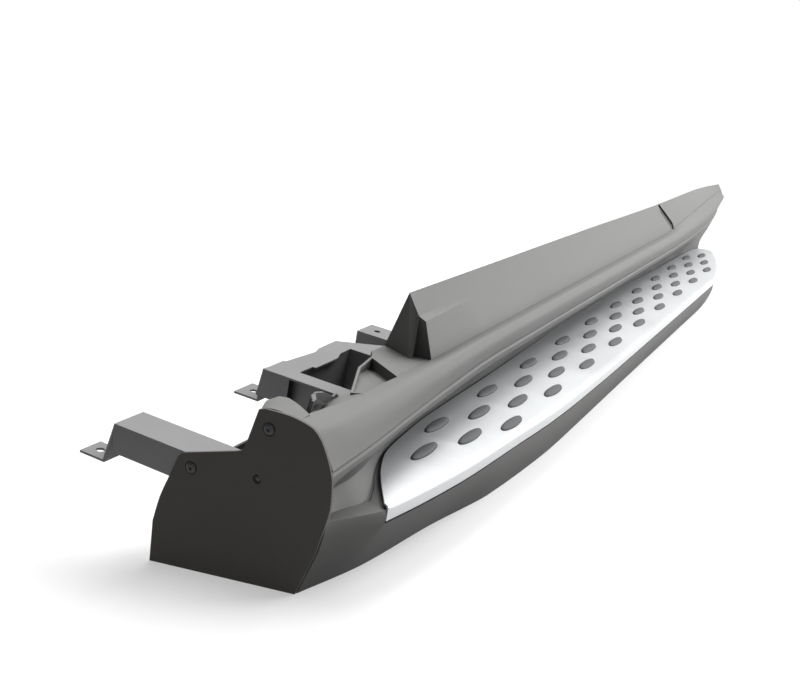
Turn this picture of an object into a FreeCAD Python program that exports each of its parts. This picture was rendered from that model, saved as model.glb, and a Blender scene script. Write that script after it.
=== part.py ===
import FreeCAD, Part
import math
import os

from FreeCAD import Vector as Vec

# A side step (running board) for a car: a moulded plastic body with a tall sill ridge,
# an aluminium tread plate over a rubber mat with oval grips, end caps, an under cover,
# a folded steel rail inside and steel brackets that bolt to the car.
#
# Everything is laid out in the tread's own frame: x runs along the board from its near
# end, u runs inboard to the car, v runs up, square to the tread, with the tread's top
# surface at v = 0.  At the end the whole is leaned until its flat underside lies level.

# Overall sizes, millimetres.
BODY_LENGTH = 1875.0        # near end cap face to the end of the lower body
TIP_OVERHANG = 183.0        # how far the tip of the sill ridge runs past the lower body
UNDERSIDE_LEAN = 10.97      # degrees between the tread and the flat underside
UNDERSIDE_DROP = 84.5       # tread down to the underside, measured at u = 0
CARRIER_U = 158.0           # inboard edge of the lower body

# Walls and sheets.
BODY_WALL = 3.0
COVER_WALL = 2.5
CAP_THICKNESS = 3.0
PLATE_THICKNESS = 2.0
MAT_THICKNESS = 3.0
RAIL_THICKNESS = 2.0
BRACKET_THICKNESS = 2.5
CLEARANCE = 0.3

# Tread plate.
PLATE_ROLL_RADIUS = 7.0
PLATE_FASCIA_DEPTH = 17.0
PLATE_NEAR_X = 61.0
POCKET_DEPTH = 20.0
POCKET_X = 60.0
GRIP_PITCH = 155.0
GRIP_ROW_SPACING = 20.6
GRIP_LENGTH = 59.0
GRIP_WIDTH = 14.0
GRIP_FIRST_X = 282.0
GRIP_ROWS = 4
GRIP_RISE = 2.4
GRIP_GAP = 0.4
GRIP_END_MARGIN = 60.0

# Sill ridge.
RIDGE_START_X = 282.0
CREASE_V = 72.0
PLATEAU_V = 71.0
RIDGE_BASE_U = 80.0
INBOARD_WALL_FOOT_U = 86.0
INBOARD_WALL_FOOT_V = 12.0

# Steel rail.
RAIL_START_X = CAP_THICKNESS + CLEARANCE
RAIL_PAN_START_X = 84.0
RAIL_END_GAP = 30.0
RAIL_STEP_U = 38.0
RAIL_DECK_U = 95.0
RAIL_FLANGE_DEPTH = 22.0
DECK_V = 6.5

# Brackets.
BRACKET_WIDTH = 43.0
BRACKET_SIDE_DEPTH = 28.0
BRACKET_START_U = 42.0
BRACKET_REACH_U = 222.0
FOOT_DROP = 42.0
FOOT_RUN = 10.0
FOOT_LENGTH = 29.0
FOOT_HOLE_RADIUS = 4.5
BRACKET_BOLT_RADIUS = 4.0

# Jack bracket.
JACK_START_X = 249.0
JACK_END_X = 453.0
JACK_INBOARD_U = 210.0
JACK_WINDOW_X = 274.0
JACK_WINDOW_LENGTH = 129.0
JACK_WINDOW_U = RAIL_DECK_U + 13.0
JACK_WINDOW_WIDTH = 70.0

LEDGE_V = -(PLATE_THICKNESS + MAT_THICKNESS)
SLOPE = math.tan(math.radians(UNDERSIDE_LEAN))
TIP_LENGTH = BODY_LENGTH + TIP_OVERHANG
FAR_CAP_X = BODY_LENGTH - CAP_THICKNESS


def floor_v(u):
    """Height of the flat underside in the tread's frame."""
    return -UNDERSIDE_DROP - SLOPE * u


def far(distance):
    """Position measured back from the end of the lower body."""
    return BODY_LENGTH - distance


def smooth(table, x):
    """Monotone cubic value through a short table of (x, value) stations."""
    if x <= table[0][0]:
        return table[0][1]
    if x >= table[-1][0]:
        return table[-1][1]
    count = len(table)
    chord = []
    for i in range(count - 1):
        chord.append((table[i + 1][1] - table[i][1]) / (table[i + 1][0] - table[i][0]))
    slope = [chord[0]]
    for i in range(1, count - 1):
        if chord[i - 1] * chord[i] <= 0.0:
            slope.append(0.0)
        else:
            slope.append(2.0 * chord[i - 1] * chord[i] / (chord[i - 1] + chord[i]))
    slope.append(chord[-1])
    for i in range(count - 1):
        x0, y0 = table[i]
        x1, y1 = table[i + 1]
        if x <= x1:
            h = x1 - x0
            t = (x - x0) / h
            a = (1.0 + 2.0 * t) * (1.0 - t) ** 2
            b = t * (1.0 - t) ** 2
            c = t * t * (3.0 - 2.0 * t)
            d = t * t * (t - 1.0)
            return a * y0 + b * h * slope[i] + c * y1 + d * h * slope[i + 1]
    return table[-1][1]


# Lines that run along the board, as (x, value) stations.
PLATE_INNER = (
    (PLATE_NEAR_X, -48.0), (119.0, -13.0), (145.0, -1.0), (176.0, 9.0), (226.0, 15.0),
    (300.0, 20.0), (476.0, 22.0), (918.0, 30.0), (far(664.0), 28.0), (far(432.0), 22.0),
    (far(206.0), 17.0), (far(19.0), 6.0),
)
PLATE_OUTER = (
    (PLATE_NEAR_X, -48.0), (128.0, -59.0), (220.0, -70.0), (340.0, -78.0), (467.0, -86.0),
    (573.0, -88.5), (760.0, -90.0), (far(348.0), -90.5), (far(257.0), -82.0),
    (far(113.0), -57.0), (far(19.0), -30.0),
)
SKIRT_FOOT = (
    (0.0, -1.0), (85.0, -27.0), (193.0, -44.0), (325.0, -70.0), (529.0, -81.0),
    (982.0, -80.0), (far(400.0), -80.0), (far(99.0), -62.0), (far(0.0), -32.0),
)
SKIRT_MID = (
    (0.0, -15.0), (60.0, -39.0), (85.0, -44.0), (193.0, -61.0), (325.0, -76.0), (529.0, -86.5),
    (982.0, -87.0), (far(348.0), -87.0), (far(113.0), -59.0), (far(0.0), -28.0),
)
SCOOP_ROOT = (
    (0.0, -20.0), (32.0, -27.0), (61.0, -35.0), (92.0, -23.0), (119.0, -9.0),
    (145.0, 3.0), (176.0, 12.0), (226.0, 18.0), (300.0, 23.0), (476.0, 25.0),
    (918.0, 33.0), (far(664.0), 31.0), (far(432.0), 25.0), (far(206.0), 20.0),
    (far(19.0), 9.0), (TIP_LENGTH, 9.0),
)
STYLE_U = (
    (0.0, -17.5), (80.0, -15.0), (180.0, -9.0), (300.0, -3.0), (452.0, 2.0),
    (far(0.0), 2.0), (TIP_LENGTH, 10.0),
)
STYLE_V = ((0.0, 42.0), (452.0, 46.0), (far(400.0), 46.0), (far(0.0), 60.0), (TIP_LENGTH, 92.0))
CREST_U = ((0.0, 10.0), (282.0, 9.0), (far(400.0), 9.0), (far(0.0), 6.0), (TIP_LENGTH, 13.0))
CREST_V = (
    (0.0, 78.6), (120.0, 75.2), (282.0, 74.5), (far(420.0), 74.5), (far(150.0), 82.0),
    (far(0.0), 92.0), (TIP_LENGTH, 114.0),
)
CREASE_U = ((0.0, 27.0), (120.0, 22.5), (282.0, 21.5), (far(420.0), 24.0), (far(0.0), 22.0), (TIP_LENGTH, 19.0))
CREASE_LINE_V = (
    (0.0, 81.0), (120.0, 73.5), (282.0, CREASE_V), (far(420.0), CREASE_V),
    (far(150.0), 91.0), (far(0.0), 106.0), (TIP_LENGTH, 124.0),
)
RIDGE_TOP_U = (
    (RIDGE_START_X, 61.5), (far(300.0), 62.0), (far(0.0), 58.0), (TIP_LENGTH - 90.0, 48.0),
    (TIP_LENGTH, 29.0),
)
RIDGE_TOP_V = (
    (RIDGE_START_X, 138.5), (945.0, 132.0), (far(300.0), 124.5), (far(0.0), 127.5),
    (TIP_LENGTH, 136.0),
)
RIDGE_BASE = ((RIDGE_START_X, RIDGE_BASE_U), (far(60.0), 78.0), (TIP_LENGTH, 38.0))
RIDGE_BASE_V = ((RIDGE_START_X, PLATEAU_V), (far(60.0), PLATEAU_V), (TIP_LENGTH, 117.0))
INBOARD_FOOT = ((RIDGE_START_X, INBOARD_WALL_FOOT_U), (far(60.0), 84.0), (TIP_LENGTH, 40.0))
INBOARD_FOOT_V = ((RIDGE_START_X, INBOARD_WALL_FOOT_V), (far(60.0), INBOARD_WALL_FOOT_V), (TIP_LENGTH, 106.0))


def offset_path(points, distance):
    """Points moved to the right of the path's direction by a distance, mitred at corners."""
    result = []
    last = len(points) - 1
    for i, (u, v) in enumerate(points):
        normals = []
        if i > 0:
            du = u - points[i - 1][0]
            dv = v - points[i - 1][1]
            size = math.hypot(du, dv)
            normals.append((dv / size, -du / size))
        if i < last:
            du = points[i + 1][0] - u
            dv = points[i + 1][1] - v
            size = math.hypot(du, dv)
            normals.append((dv / size, -du / size))
        nu = sum(n[0] for n in normals) / len(normals)
        nv = sum(n[1] for n in normals) / len(normals)
        square = nu * nu + nv * nv
        result.append((u + nu * distance / square, v + nv * distance / square))
    return result


def sheet_section(x, points, wall):
    """Closed wire of a wall of even thickness that follows the path at station x."""
    inner = offset_path(points, wall)
    corners = [Vec(x, u, v) for u, v in list(points) + inner[::-1]]
    return Part.makePolygon(corners + [corners[0]])


def sheet_loft(places, path, wall):
    """Solid wall lofted through the stations."""
    return Part.makeLoft([sheet_section(x, path(x), wall) for x in places], True, True)


def prism(points, axis_start, axis_end, axis="v"):
    """Prism on a closed polygon of (a, b) pairs, drawn square to the named axis."""
    if axis == "v":
        vectors = [Vec(a, b, axis_start) for a, b in points]
        direction = Vec(0, 0, axis_end - axis_start)
    elif axis == "x":
        vectors = [Vec(axis_start, a, b) for a, b in points]
        direction = Vec(axis_end - axis_start, 0, 0)
    else:
        vectors = [Vec(a, axis_start, b) for a, b in points]
        direction = Vec(0, axis_end - axis_start, 0)
    wire = Part.makePolygon(vectors + [vectors[0]])
    return Part.Face(wire).extrude(direction)


def block(x0, x1, u0, u1, v0, v1):
    """Rectangular block between two values on each axis."""
    return Part.makeBox(x1 - x0, u1 - u0, v1 - v0, Vec(x0, u0, v0))


def folded(points, x0, x1, thickness):
    """Folded sheet: an open path of (u, v) points given a thickness and a width along x."""
    inner = offset_path(points, thickness)
    return prism(points + inner[::-1], x0, x1, "x")


def fuse_all(shapes):
    """One solid from overlapping shapes."""
    result = shapes[0].multiFuse(shapes[1:])
    return result.removeSplitter()


# Moulded body.
def lower_path(x):
    """Skirt, plate pocket and ledge, from the underside up and inboard."""
    foot = smooth(SKIRT_FOOT, x)
    edge = smooth(PLATE_OUTER, x)
    root = smooth(SCOOP_ROOT, x)
    return [
        (foot, floor_v(foot)),
        (smooth(SKIRT_MID, x), -36.0),
        (edge + 0.8, -POCKET_DEPTH),
        (edge + 4.0, -POCKET_DEPTH + 0.4),
        (edge + 4.0, LEDGE_V),
        (root + 1.5, LEDGE_V),
    ]


def near_lower_path(x):
    """Skirt between the near end cap and the plate pocket."""
    foot = smooth(SKIRT_FOOT, x)
    root = smooth(SCOOP_ROOT, x)
    return [
        (foot, floor_v(foot)),
        (smooth(SKIRT_MID, x), -36.0),
        (root - 3.0 - 0.06 * x, LEDGE_V - 4.0),
        (root - 1.5 - 0.04 * x, LEDGE_V),
        (root + 1.5, LEDGE_V + 1.0),
    ]


def roll_path(x):
    """Undercut scoop, style line, crest and crease above the ledge."""
    root = smooth(SCOOP_ROOT, x)
    su = smooth(STYLE_U, x)
    sv = smooth(STYLE_V, x)
    cu = smooth(CREST_U, x)
    cv = smooth(CREST_V, x)
    eu = smooth(CREASE_U, x)
    ev = smooth(CREASE_LINE_V, x)
    scoop = 0.5 * (root + su) + (2.5 if x > 200.0 else 1.0 + 1.5 * x / 200.0)
    undercut = [(root, LEDGE_V - BODY_WALL), (scoop, LEDGE_V + 0.45 * (sv - LEDGE_V)), (su, sv)]
    crown = [
        (su, sv),
        (su + 0.42 * (cu - su) - 4.2, sv + 0.62 * (cv - sv)),
        (su + 0.62 * (cu - su) - 2.2, sv + 0.90 * (cv - sv)),
        (cu, cv),
        (eu, ev),
    ]
    return rounded(undercut, 2) + rounded(crown, 3)[1:]


def ridge_path(x):
    """Sill ridge: from the crease over the top edge and down the inboard wall."""
    eu = smooth(CREASE_U, x)
    ev = smooth(CREASE_LINE_V, x)
    tu = smooth(RIDGE_TOP_U, x)
    tv = smooth(RIDGE_TOP_V, x)
    return [
        (eu - 1.0, ev - 2.2),
        (eu + 0.45 * (tu - eu) + 1.2, ev + 0.45 * (tv - ev) - 0.8),
        (tu, tv),
        (smooth(RIDGE_BASE, x), smooth(RIDGE_BASE_V, x)),
        (smooth(INBOARD_FOOT, x), smooth(INBOARD_FOOT_V, x)),
    ]


def rounded(points, steps=3):
    """Smooth curve through the points, as short straight runs of a moulded surface."""
    result = [points[0]]
    last = len(points) - 1
    for i in range(last):
        before = points[max(i - 1, 0)]
        here = points[i]
        there = points[i + 1]
        after = points[min(i + 2, last)]
        for k in range(1, steps + 1):
            t = float(k) / steps
            point = []
            for a, b, c, d in zip(before, here, there, after):
                point.append(0.5 * (2.0 * b + (c - a) * t + (2.0 * a - 5.0 * b + 4.0 * c - d) * t * t
                                    + (3.0 * b - a - 3.0 * c + d) * t ** 3))
            result.append(tuple(point))
    return result


def stations(x0, x1):
    """Stations between two ends: close together where the board's lines curve, else wide."""
    wanted = []
    x = x0
    while x < x1 - 1.0:
        wanted.append(x)
        if x < 240.0:
            x += 20.0
        elif x < far(460.0):
            x += 110.0
        else:
            x += 40.0
    if x1 - wanted[-1] < 8.0:
        wanted.pop()
    wanted.append(x1)
    return wanted


def skirt_flange():
    """Inturned flange along the foot of the skirt, a little above the underside."""
    wires = []
    for x in stations(CAP_THICKNESS, FAR_CAP_X):
        foot = smooth(SKIRT_FOOT, x) + 1.0
        edge = foot + 24.0
        corners = [
            Vec(x, foot, floor_v(foot) + 4.0), Vec(x, edge, floor_v(edge) + 4.0),
            Vec(x, edge, floor_v(edge) + 4.0 + BODY_WALL), Vec(x, foot, floor_v(foot) + 4.0 + BODY_WALL),
        ]
        wires.append(Part.makePolygon(corners + [corners[0]]))
    return Part.makeLoft(wires, True, True)


def hump():
    """Rounded lip behind the near end cap, with the cap's screw boss."""
    path = [(24.0, 80.6), (34.0, 81.4), (46.0, 81.0), (56.0, 79.6), (62.0, 77.4), (66.0, 64.0)]
    lip = folded(path, CAP_THICKNESS, 33.0, BODY_WALL)
    trim = prism([(34.0, 84.0), (24.0, 62.0), (22.0, 60.0), (27.0, 40.0), (20.0, 26.0), (34.0, 20.0)],
                 50.0, 90.0, "v")
    trim_x = prism([(33.5, 70.0), (26.5, 44.0), (20.0, 22.0), (40.0, 18.0), (40.0, 70.0)], 50.0, 90.0, "v")
    lip = lip.cut(trim_x)
    boss = block(CAP_THICKNESS, 14.0, 43.0, 57.0, 55.0, 79.0)
    return lip.fuse(boss)


def plateau():
    """Flat land beside the ridge's near end, with its gusset web."""
    land = prism([(202.0, 21.0), (236.0, 72.0), (250.0, 80.0), (RIDGE_START_X + 4.0, 80.0),
                  (RIDGE_START_X + 4.0, 21.0)], PLATEAU_V - BODY_WALL, PLATEAU_V, "v")
    web = prism([(236.0, PLATEAU_V), (236.0, 30.0), (200.0, 34.0), (187.0, 52.0)], 69.0, 72.0, "u")
    wall = prism([(RIDGE_BASE_U - BODY_WALL, PLATEAU_V), (RIDGE_BASE_U, PLATEAU_V),
                  (INBOARD_WALL_FOOT_U, INBOARD_WALL_FOOT_V),
                  (INBOARD_WALL_FOOT_U - BODY_WALL, INBOARD_WALL_FOOT_V)], 250.0, RIDGE_START_X + 4.0, "x")
    return land, web, wall


def ridge_end_wall():
    """Wall that closes the near end of the ridge."""
    path = ridge_path(RIDGE_START_X)
    outline = path[:4] + [(path[0][0] + 4.0, PLATEAU_V - BODY_WALL)]
    return prism(outline, RIDGE_START_X, RIDGE_START_X + BODY_WALL, "x")


def tip_wall():
    """Wall that closes the tip of the ridge."""
    path = ridge_path(TIP_LENGTH)
    roll = roll_path(TIP_LENGTH)
    outline = [roll[-4], roll[-1]] + path[1:]
    return prism(outline, TIP_LENGTH - BODY_WALL, TIP_LENGTH, "x")


BODY_FEET_X = (466.0, 700.0, 980.0, far(560.0), far(170.0))


def body_feet():
    """Feet of the inboard wall that screw down on the rail's deck."""
    feet = []
    for x in BODY_FEET_X:
        upright = block(x - 13.0, x + 13.0, INBOARD_WALL_FOOT_U - 5.0, INBOARD_WALL_FOOT_U - 1.5,
                        DECK_V, INBOARD_WALL_FOOT_V + 6.0)
        sole = block(x - 13.0, x + 13.0, INBOARD_WALL_FOOT_U - 20.0, INBOARD_WALL_FOOT_U - 1.5,
                     DECK_V, DECK_V + BODY_WALL)
        hole = Part.makeCylinder(2.6, 10.0, Vec(x, INBOARD_WALL_FOOT_U - 12.0, DECK_V - 2.0))
        feet.append(upright.fuse(sole).cut(hole))
    return feet


def body_moulding():
    """The one-piece plastic body."""
    near_lower = sheet_loft(stations(CAP_THICKNESS, POCKET_X), near_lower_path, 5.0)
    lower = sheet_loft(stations(POCKET_X, FAR_CAP_X), lower_path, BODY_WALL)
    roll = sheet_loft(stations(CAP_THICKNESS, TIP_LENGTH), roll_path, BODY_WALL)
    ridge = sheet_loft(stations(RIDGE_START_X, TIP_LENGTH), ridge_path, BODY_WALL)
    land, web, wall = plateau()
    parts = [near_lower, lower, roll, ridge, skirt_flange(), hump(), land, web, wall]
    parts += [ridge_end_wall(), tip_wall()] + body_feet()
    body = parts[0].multiFuse(parts[1:])
    under_tip = prism([(FAR_CAP_X, -200.0), (FAR_CAP_X, 22.0), (TIP_LENGTH + 1.0, 107.5),
                       (TIP_LENGTH + 60.0, 107.5), (TIP_LENGTH + 60.0, -200.0)], -60.0, 140.0, "u")
    body = body.cut(under_tip)
    for x in plate_stud_positions():
        body = body.cut(Part.makeCylinder(3.0, 8.0, Vec(x, PLATE_STUD_U, LEDGE_V - 6.0)))
    body = body.cut(slot_cut(0.0))
    for x in cover_rivet_positions():
        u = rivet_u(x)
        body = body.cut(Part.makeCylinder(3.2, 16.0, Vec(x, u, floor_v(u) - 4.0)))
    for u, v in NEAR_CAP_BODY_SCREWS:
        body = body.cut(Part.makeCylinder(2.0, 16.0, Vec(0.0, u, v), Vec(1, 0, 0)))
    return body


# Slot near the far end of the ridge, with its insert.
SLOT_TOP_X = far(348.0)
SLOT_WIDTH = 10.0
SLOT_LENGTH = 62.0
SLOT_LEAN = 47.0


def slot_cut(margin):
    """Rounded slot through the ridge's outboard face, with the insert's clearance taken off."""
    width = SLOT_WIDTH - 2.0 * margin
    radius = 0.5 * width
    length = SLOT_LENGTH - 2.0 * margin
    bar = block(-radius, radius, -0.5 * length + radius, 0.5 * length - radius, -9.0, 9.0)
    for end in (-0.5, 0.5):
        bar = bar.fuse(Part.makeCylinder(radius, 18.0, Vec(0, end * (length - width), -9.0)))
    face = ridge_path(SLOT_TOP_X + 24.0)
    low = face[0]
    high = face[2]
    angle = math.degrees(math.atan2(high[1] - low[1], high[0] - low[0]))
    bar.rotate(Vec(0, 0, 0), Vec(0, 0, 1), 12.0)
    bar.rotate(Vec(0, 0, 0), Vec(1, 0, 0), angle)
    mid_u = 0.5 * (low[0] + high[0])
    mid_v = 0.5 * (low[1] + high[1])
    bar.translate(Vec(SLOT_TOP_X + 24.0, mid_u, mid_v))
    return bar


def slot_insert():
    """Dark insert that fills the slot, a little below the face."""
    return slot_cut(CLEARANCE).common(slot_plane())


def slot_plane():
    """Slab in which the insert lies, just below the ridge's outboard face."""
    x = SLOT_TOP_X + 24.0
    face = ridge_path(x)
    low = face[0]
    high = face[2]
    inner = offset_path([low, high], 1.0)
    deep = offset_path([low, high], 4.5)
    return prism([inner[0], inner[1], deep[1], deep[0]], x - 40.0, x + 40.0, "x")


# Under cover.
COVER_STEP_U = 27.0
COVER_RIM_V = -25.0


def cover_path(x):
    """Cover from the skirt's flange across the flat underside and up its inboard wall."""
    foot = smooth(SKIRT_FOOT, x)
    start = foot + BODY_WALL + 1.5
    step = foot + COVER_STEP_U
    over = 4.0 + BODY_WALL
    bottom = step + 5.0
    return [
        (start, floor_v(start) + over),
        (step, floor_v(step) + over),
        (bottom, floor_v(bottom)),
        (CARRIER_U - 6.0, floor_v(CARRIER_U - 6.0)),
        (CARRIER_U, floor_v(CARRIER_U) + 7.0),
        (CARRIER_U - 6.0, COVER_RIM_V),
    ]


def under_cover():
    """Cover that closes the underside, open below the jack window."""
    ends = (CAP_THICKNESS + CLEARANCE, FAR_CAP_X - CLEARANCE)
    cover = sheet_loft(stations(*ends), cover_path, -COVER_WALL)
    notch = block(JACK_WINDOW_X - 8.0, JACK_WINDOW_X + JACK_WINDOW_LENGTH + 8.0,
                  JACK_WINDOW_U - 8.0, CARRIER_U + 5.0, -130.0, 0.0)
    cover = cover.cut(notch)
    for x in cover_rivet_positions():
        u = rivet_u(x)
        cover = cover.cut(Part.makeCylinder(3.9, 20.0, Vec(x, u, floor_v(u) - 4.0)))
    for i in range(9):
        x = 560.0 + i * (far(120.0) - 560.0) / 8.0
        cover = cover.cut(Part.makeCylinder(6.0, 30.0, Vec(x, 96.0, floor_v(96.0) - 12.0)))
    return cover


def rivet_u(x):
    """Middle of the skirt's flange."""
    return smooth(SKIRT_FOOT, x) + 17.0


def cover_rivet_positions():
    """Push rivets along the skirt's flange."""
    count = 8
    first = 120.0
    last = far(140.0)
    return [first + i * (last - first) / (count - 1) for i in range(count)]


def cover_rivets():
    """Push rivets: a flat head below the flange, a shank and a spread end above."""
    solids = []
    for x in cover_rivet_positions():
        u = rivet_u(x)
        head = Part.makeCylinder(8.0, 1.6, Vec(0, 0, -1.6))
        shank = Part.makeCylinder(2.9, BODY_WALL + COVER_WALL + 1.0, Vec(0, 0, -0.2))
        end = Part.makeCone(4.6, 2.6, 4.0, Vec(0, 0, BODY_WALL + COVER_WALL + 0.3))
        rivet = head.fuse([shank, end]).removeSplitter()
        rivet.rotate(Vec(0, 0, 0), Vec(1, 0, 0), -UNDERSIDE_LEAN)
        rivet.translate(Vec(x, u, floor_v(u) + 3.95))
        solids.append(rivet)
    return solids


# End caps.
CAP_OUTLINE = (
    (-1.0, None), (-15.0, -36.0), (-22.0, 11.0), (-19.8, 34.0), (-16.4, 46.0), (-7.2, 64.0),
    (2.0, 75.2), (12.3, 80.0), (32.0, 82.2), (56.0, 80.6), (63.0, 78.0), (71.7, 39.5),
    (80.0, 31.0), (CARRIER_U - 21.0, 9.4), (CARRIER_U - 16.0, 4.6), (CARRIER_U - 7.4, -22.0),
    (CARRIER_U, -45.0), (CARRIER_U + 5.0, -72.0), (CARRIER_U + 3.5, None),
)
NEAR_CAP_BODY_SCREWS = ((50.0, 63.0),)
NEAR_CAP_STEEL_SCREWS = ((CARRIER_U - 31.5, -2.6),)
CAP_PIN = (55.0, 12.0)


def near_end_cap():
    """Flat end cap with the outline of the whole section."""
    points = []
    for u, v in CAP_OUTLINE:
        points.append((u, floor_v(u) if v is None else v))
    cap = prism(points, 0.0, CAP_THICKNESS, "x")
    for u, v in NEAR_CAP_BODY_SCREWS + NEAR_CAP_STEEL_SCREWS:
        recess = Part.makeCylinder(8.0, 1.2, Vec(0, u, v), Vec(1, 0, 0))
        hole = Part.makeCylinder(2.6, 10.0, Vec(-1, u, v), Vec(1, 0, 0))
        cap = cap.cut(recess).cut(hole)
    cap = cap.cut(Part.makeCylinder(2.6, 10.0, Vec(-1, CAP_PIN[0], CAP_PIN[1]), Vec(1, 0, 0)))
    return cap


def far_end_cap():
    """Cap at the far end of the lower body."""
    x = FAR_CAP_X
    foot = smooth(SKIRT_FOOT, x)
    edge = smooth(PLATE_OUTER, x)
    root = smooth(SCOOP_ROOT, x)
    points = [
        (foot, floor_v(foot)), (smooth(SKIRT_MID, x), -36.0), (edge + 0.8, -POCKET_DEPTH),
        (edge + 4.0, LEDGE_V), (root, LEDGE_V), (root + 3.0, 22.0), (80.0, 22.0), (CARRIER_U - 21.0, 5.0),
        (CARRIER_U - 7.4, -22.0), (CARRIER_U, floor_v(CARRIER_U) + 7.0), (CARRIER_U - 6.0, floor_v(CARRIER_U - 6.0)),
    ]
    cap = prism(points, x, BODY_LENGTH, "x")
    for u, v in FAR_CAP_SCREWS:
        cap = cap.cut(Part.makeCylinder(2.6, 10.0, Vec(x - 2.0, u, v), Vec(1, 0, 0)))
    return cap


FAR_CAP_SCREWS = ((60.0, 14.0), (CARRIER_U - 31.5, -2.6))


def pan_screw(length, head_radius=5.5):
    """Screw along +x: rounded head on the outside, plain shank."""
    head = Part.makeCylinder(head_radius, 1.4, Vec(-1.4, 0, 0), Vec(1, 0, 0))
    dome = Part.makeCone(head_radius, 0.6 * head_radius, 1.2, Vec(-1.4, 0, 0), Vec(-1, 0, 0))
    shank = Part.makeCylinder(2.0, length, Vec(-0.2, 0, 0), Vec(1, 0, 0))
    recess = Part.makeCylinder(1.8, 1.6, Vec(-2.7, 0, 0), Vec(1, 0, 0))
    return head.fuse([dome, shank]).cut(recess).removeSplitter()


def cap_screws():
    """Screws of both end caps."""
    solids = []
    for u, v in NEAR_CAP_BODY_SCREWS + NEAR_CAP_STEEL_SCREWS:
        screw = pan_screw(12.0)
        screw.translate(Vec(1.2, u, v))
        solids.append(screw)
    for u, v in FAR_CAP_SCREWS:
        screw = pan_screw(12.0)
        screw.rotate(Vec(0, 0, 0), Vec(0, 0, 1), 180.0)
        screw.translate(Vec(BODY_LENGTH, u, v))
        solids.append(screw)
    return solids


def cap_pin():
    """Small locating pin of the near cap, in the rail's end tab."""
    head = Part.makeCone(4.0, 3.0, 1.0, Vec(0, 0, 0), Vec(-1, 0, 0))
    shank = Part.makeCylinder(2.2, 8.0, Vec(-0.2, 0, 0), Vec(1, 0, 0))
    pin = head.fuse(shank).removeSplitter()
    pin.translate(Vec(0, *CAP_PIN))
    return [pin]


# Tread plate and mat.
PLATE_FAR_X = far(19.0)


def plan_line(table, x0, x1, inset=0.0):
    """Points of a plan line of the plate, each moved square to the line by an inset."""
    points = []
    for x in stations(x0, x1):
        step = 2.0
        slope = (smooth(table, x + step) - smooth(table, x - step)) / (2.0 * step)
        size = math.hypot(1.0, slope)
        points.append((x - slope * inset / size, smooth(table, x) + inset / size))
    return points


def roll_section(start, radius, wall, depth, slope):
    """Quarter-round and fascia that hang outboard of a point of the plate's top."""
    size = math.hypot(1.0, slope)
    normal = (slope / size, -1.0 / size)
    outer = []
    inner = []
    for i in range(5):
        angle = math.radians(22.5 * i)
        outer.append((radius * math.sin(angle), -radius + radius * math.cos(angle)))
        small = radius - wall
        inner.append((small * math.sin(angle), -radius + small * math.cos(angle)))
    outer.append((radius, -depth))
    inner.append((radius - wall, -depth))
    corners = []
    for out, up in outer + inner[::-1]:
        corners.append(Vec(start[0] + normal[0] * out, start[1] + normal[1] * out, up))
    return Part.makePolygon(corners + [corners[0]])


def tread_plate():
    """Aluminium plate: flat top with oval holes and a rolled outboard edge."""
    x0 = PLATE_NEAR_X + 12.0
    roll_line = plan_line(PLATE_OUTER, x0, PLATE_FAR_X, PLATE_ROLL_RADIUS)
    inner_line = plan_line(PLATE_INNER, x0 - 2.0, PLATE_FAR_X)
    flat = prism(roll_line + inner_line[::-1], -PLATE_THICKNESS, 0.0, "v")
    sections = []
    for i, start in enumerate(roll_line):
        before = roll_line[max(i - 1, 0)]
        after = roll_line[min(i + 1, len(roll_line) - 1)]
        slope = (after[1] - before[1]) / (after[0] - before[0])
        sections.append(roll_section(start, PLATE_ROLL_RADIUS, PLATE_THICKNESS, PLATE_FASCIA_DEPTH, slope))
    edge = Part.makeLoft(sections, True, True)
    plate = flat.fuse(edge)
    holes = [grip(x, u, GRIP_GAP, -5.0, 5.0) for x, u in grip_positions()]
    return plate.cut(Part.makeCompound(holes))


def grip(x, u, margin, low, high):
    """Oval prism of a grip, grown by a margin."""
    oval = Part.Ellipse(Vec(x, u, low), 0.5 * GRIP_LENGTH + margin, 0.5 * GRIP_WIDTH + margin)
    face = Part.Face(Part.Wire([oval.toShape()]))
    return face.extrude(Vec(0, 0, high - low))


def grip_positions():
    """Staggered grid of grips that lie inside the plate's outline."""
    places = []
    for row in range(GRIP_ROWS):
        u = -row * GRIP_ROW_SPACING
        shift = -0.5 * GRIP_PITCH if row % 2 else 0.0
        for k in range(-1, int(BODY_LENGTH / GRIP_PITCH) + 1):
            x = GRIP_FIRST_X + shift + k * GRIP_PITCH
            left = x - 0.5 * GRIP_LENGTH
            right = x + 0.5 * GRIP_LENGTH
            if left < PLATE_NEAR_X + GRIP_END_MARGIN or right > PLATE_FAR_X - GRIP_END_MARGIN:
                continue
            reach = 0.5 * GRIP_WIDTH + 3.0
            inside = True
            for station in (left, x, right):
                if u + reach > smooth(PLATE_INNER, station):
                    inside = False
                if u - reach < smooth(PLATE_OUTER, station) + 2.0:
                    inside = False
            if inside:
                places.append((x, u))
    return places


def domed_grip(x, u):
    """Oval grip of the mat: straight side through the plate and a tapered crown."""
    rings = []
    for inset, v in ((0.0, LEDGE_V + 0.5), (0.0, GRIP_RISE - 1.1), (2.0, GRIP_RISE)):
        oval = Part.Ellipse(Vec(x, u, v), 0.5 * GRIP_LENGTH - inset, 0.5 * GRIP_WIDTH - inset)
        rings.append(Part.Wire([oval.toShape()]))
    return Part.makeLoft(rings, True, True)


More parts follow.
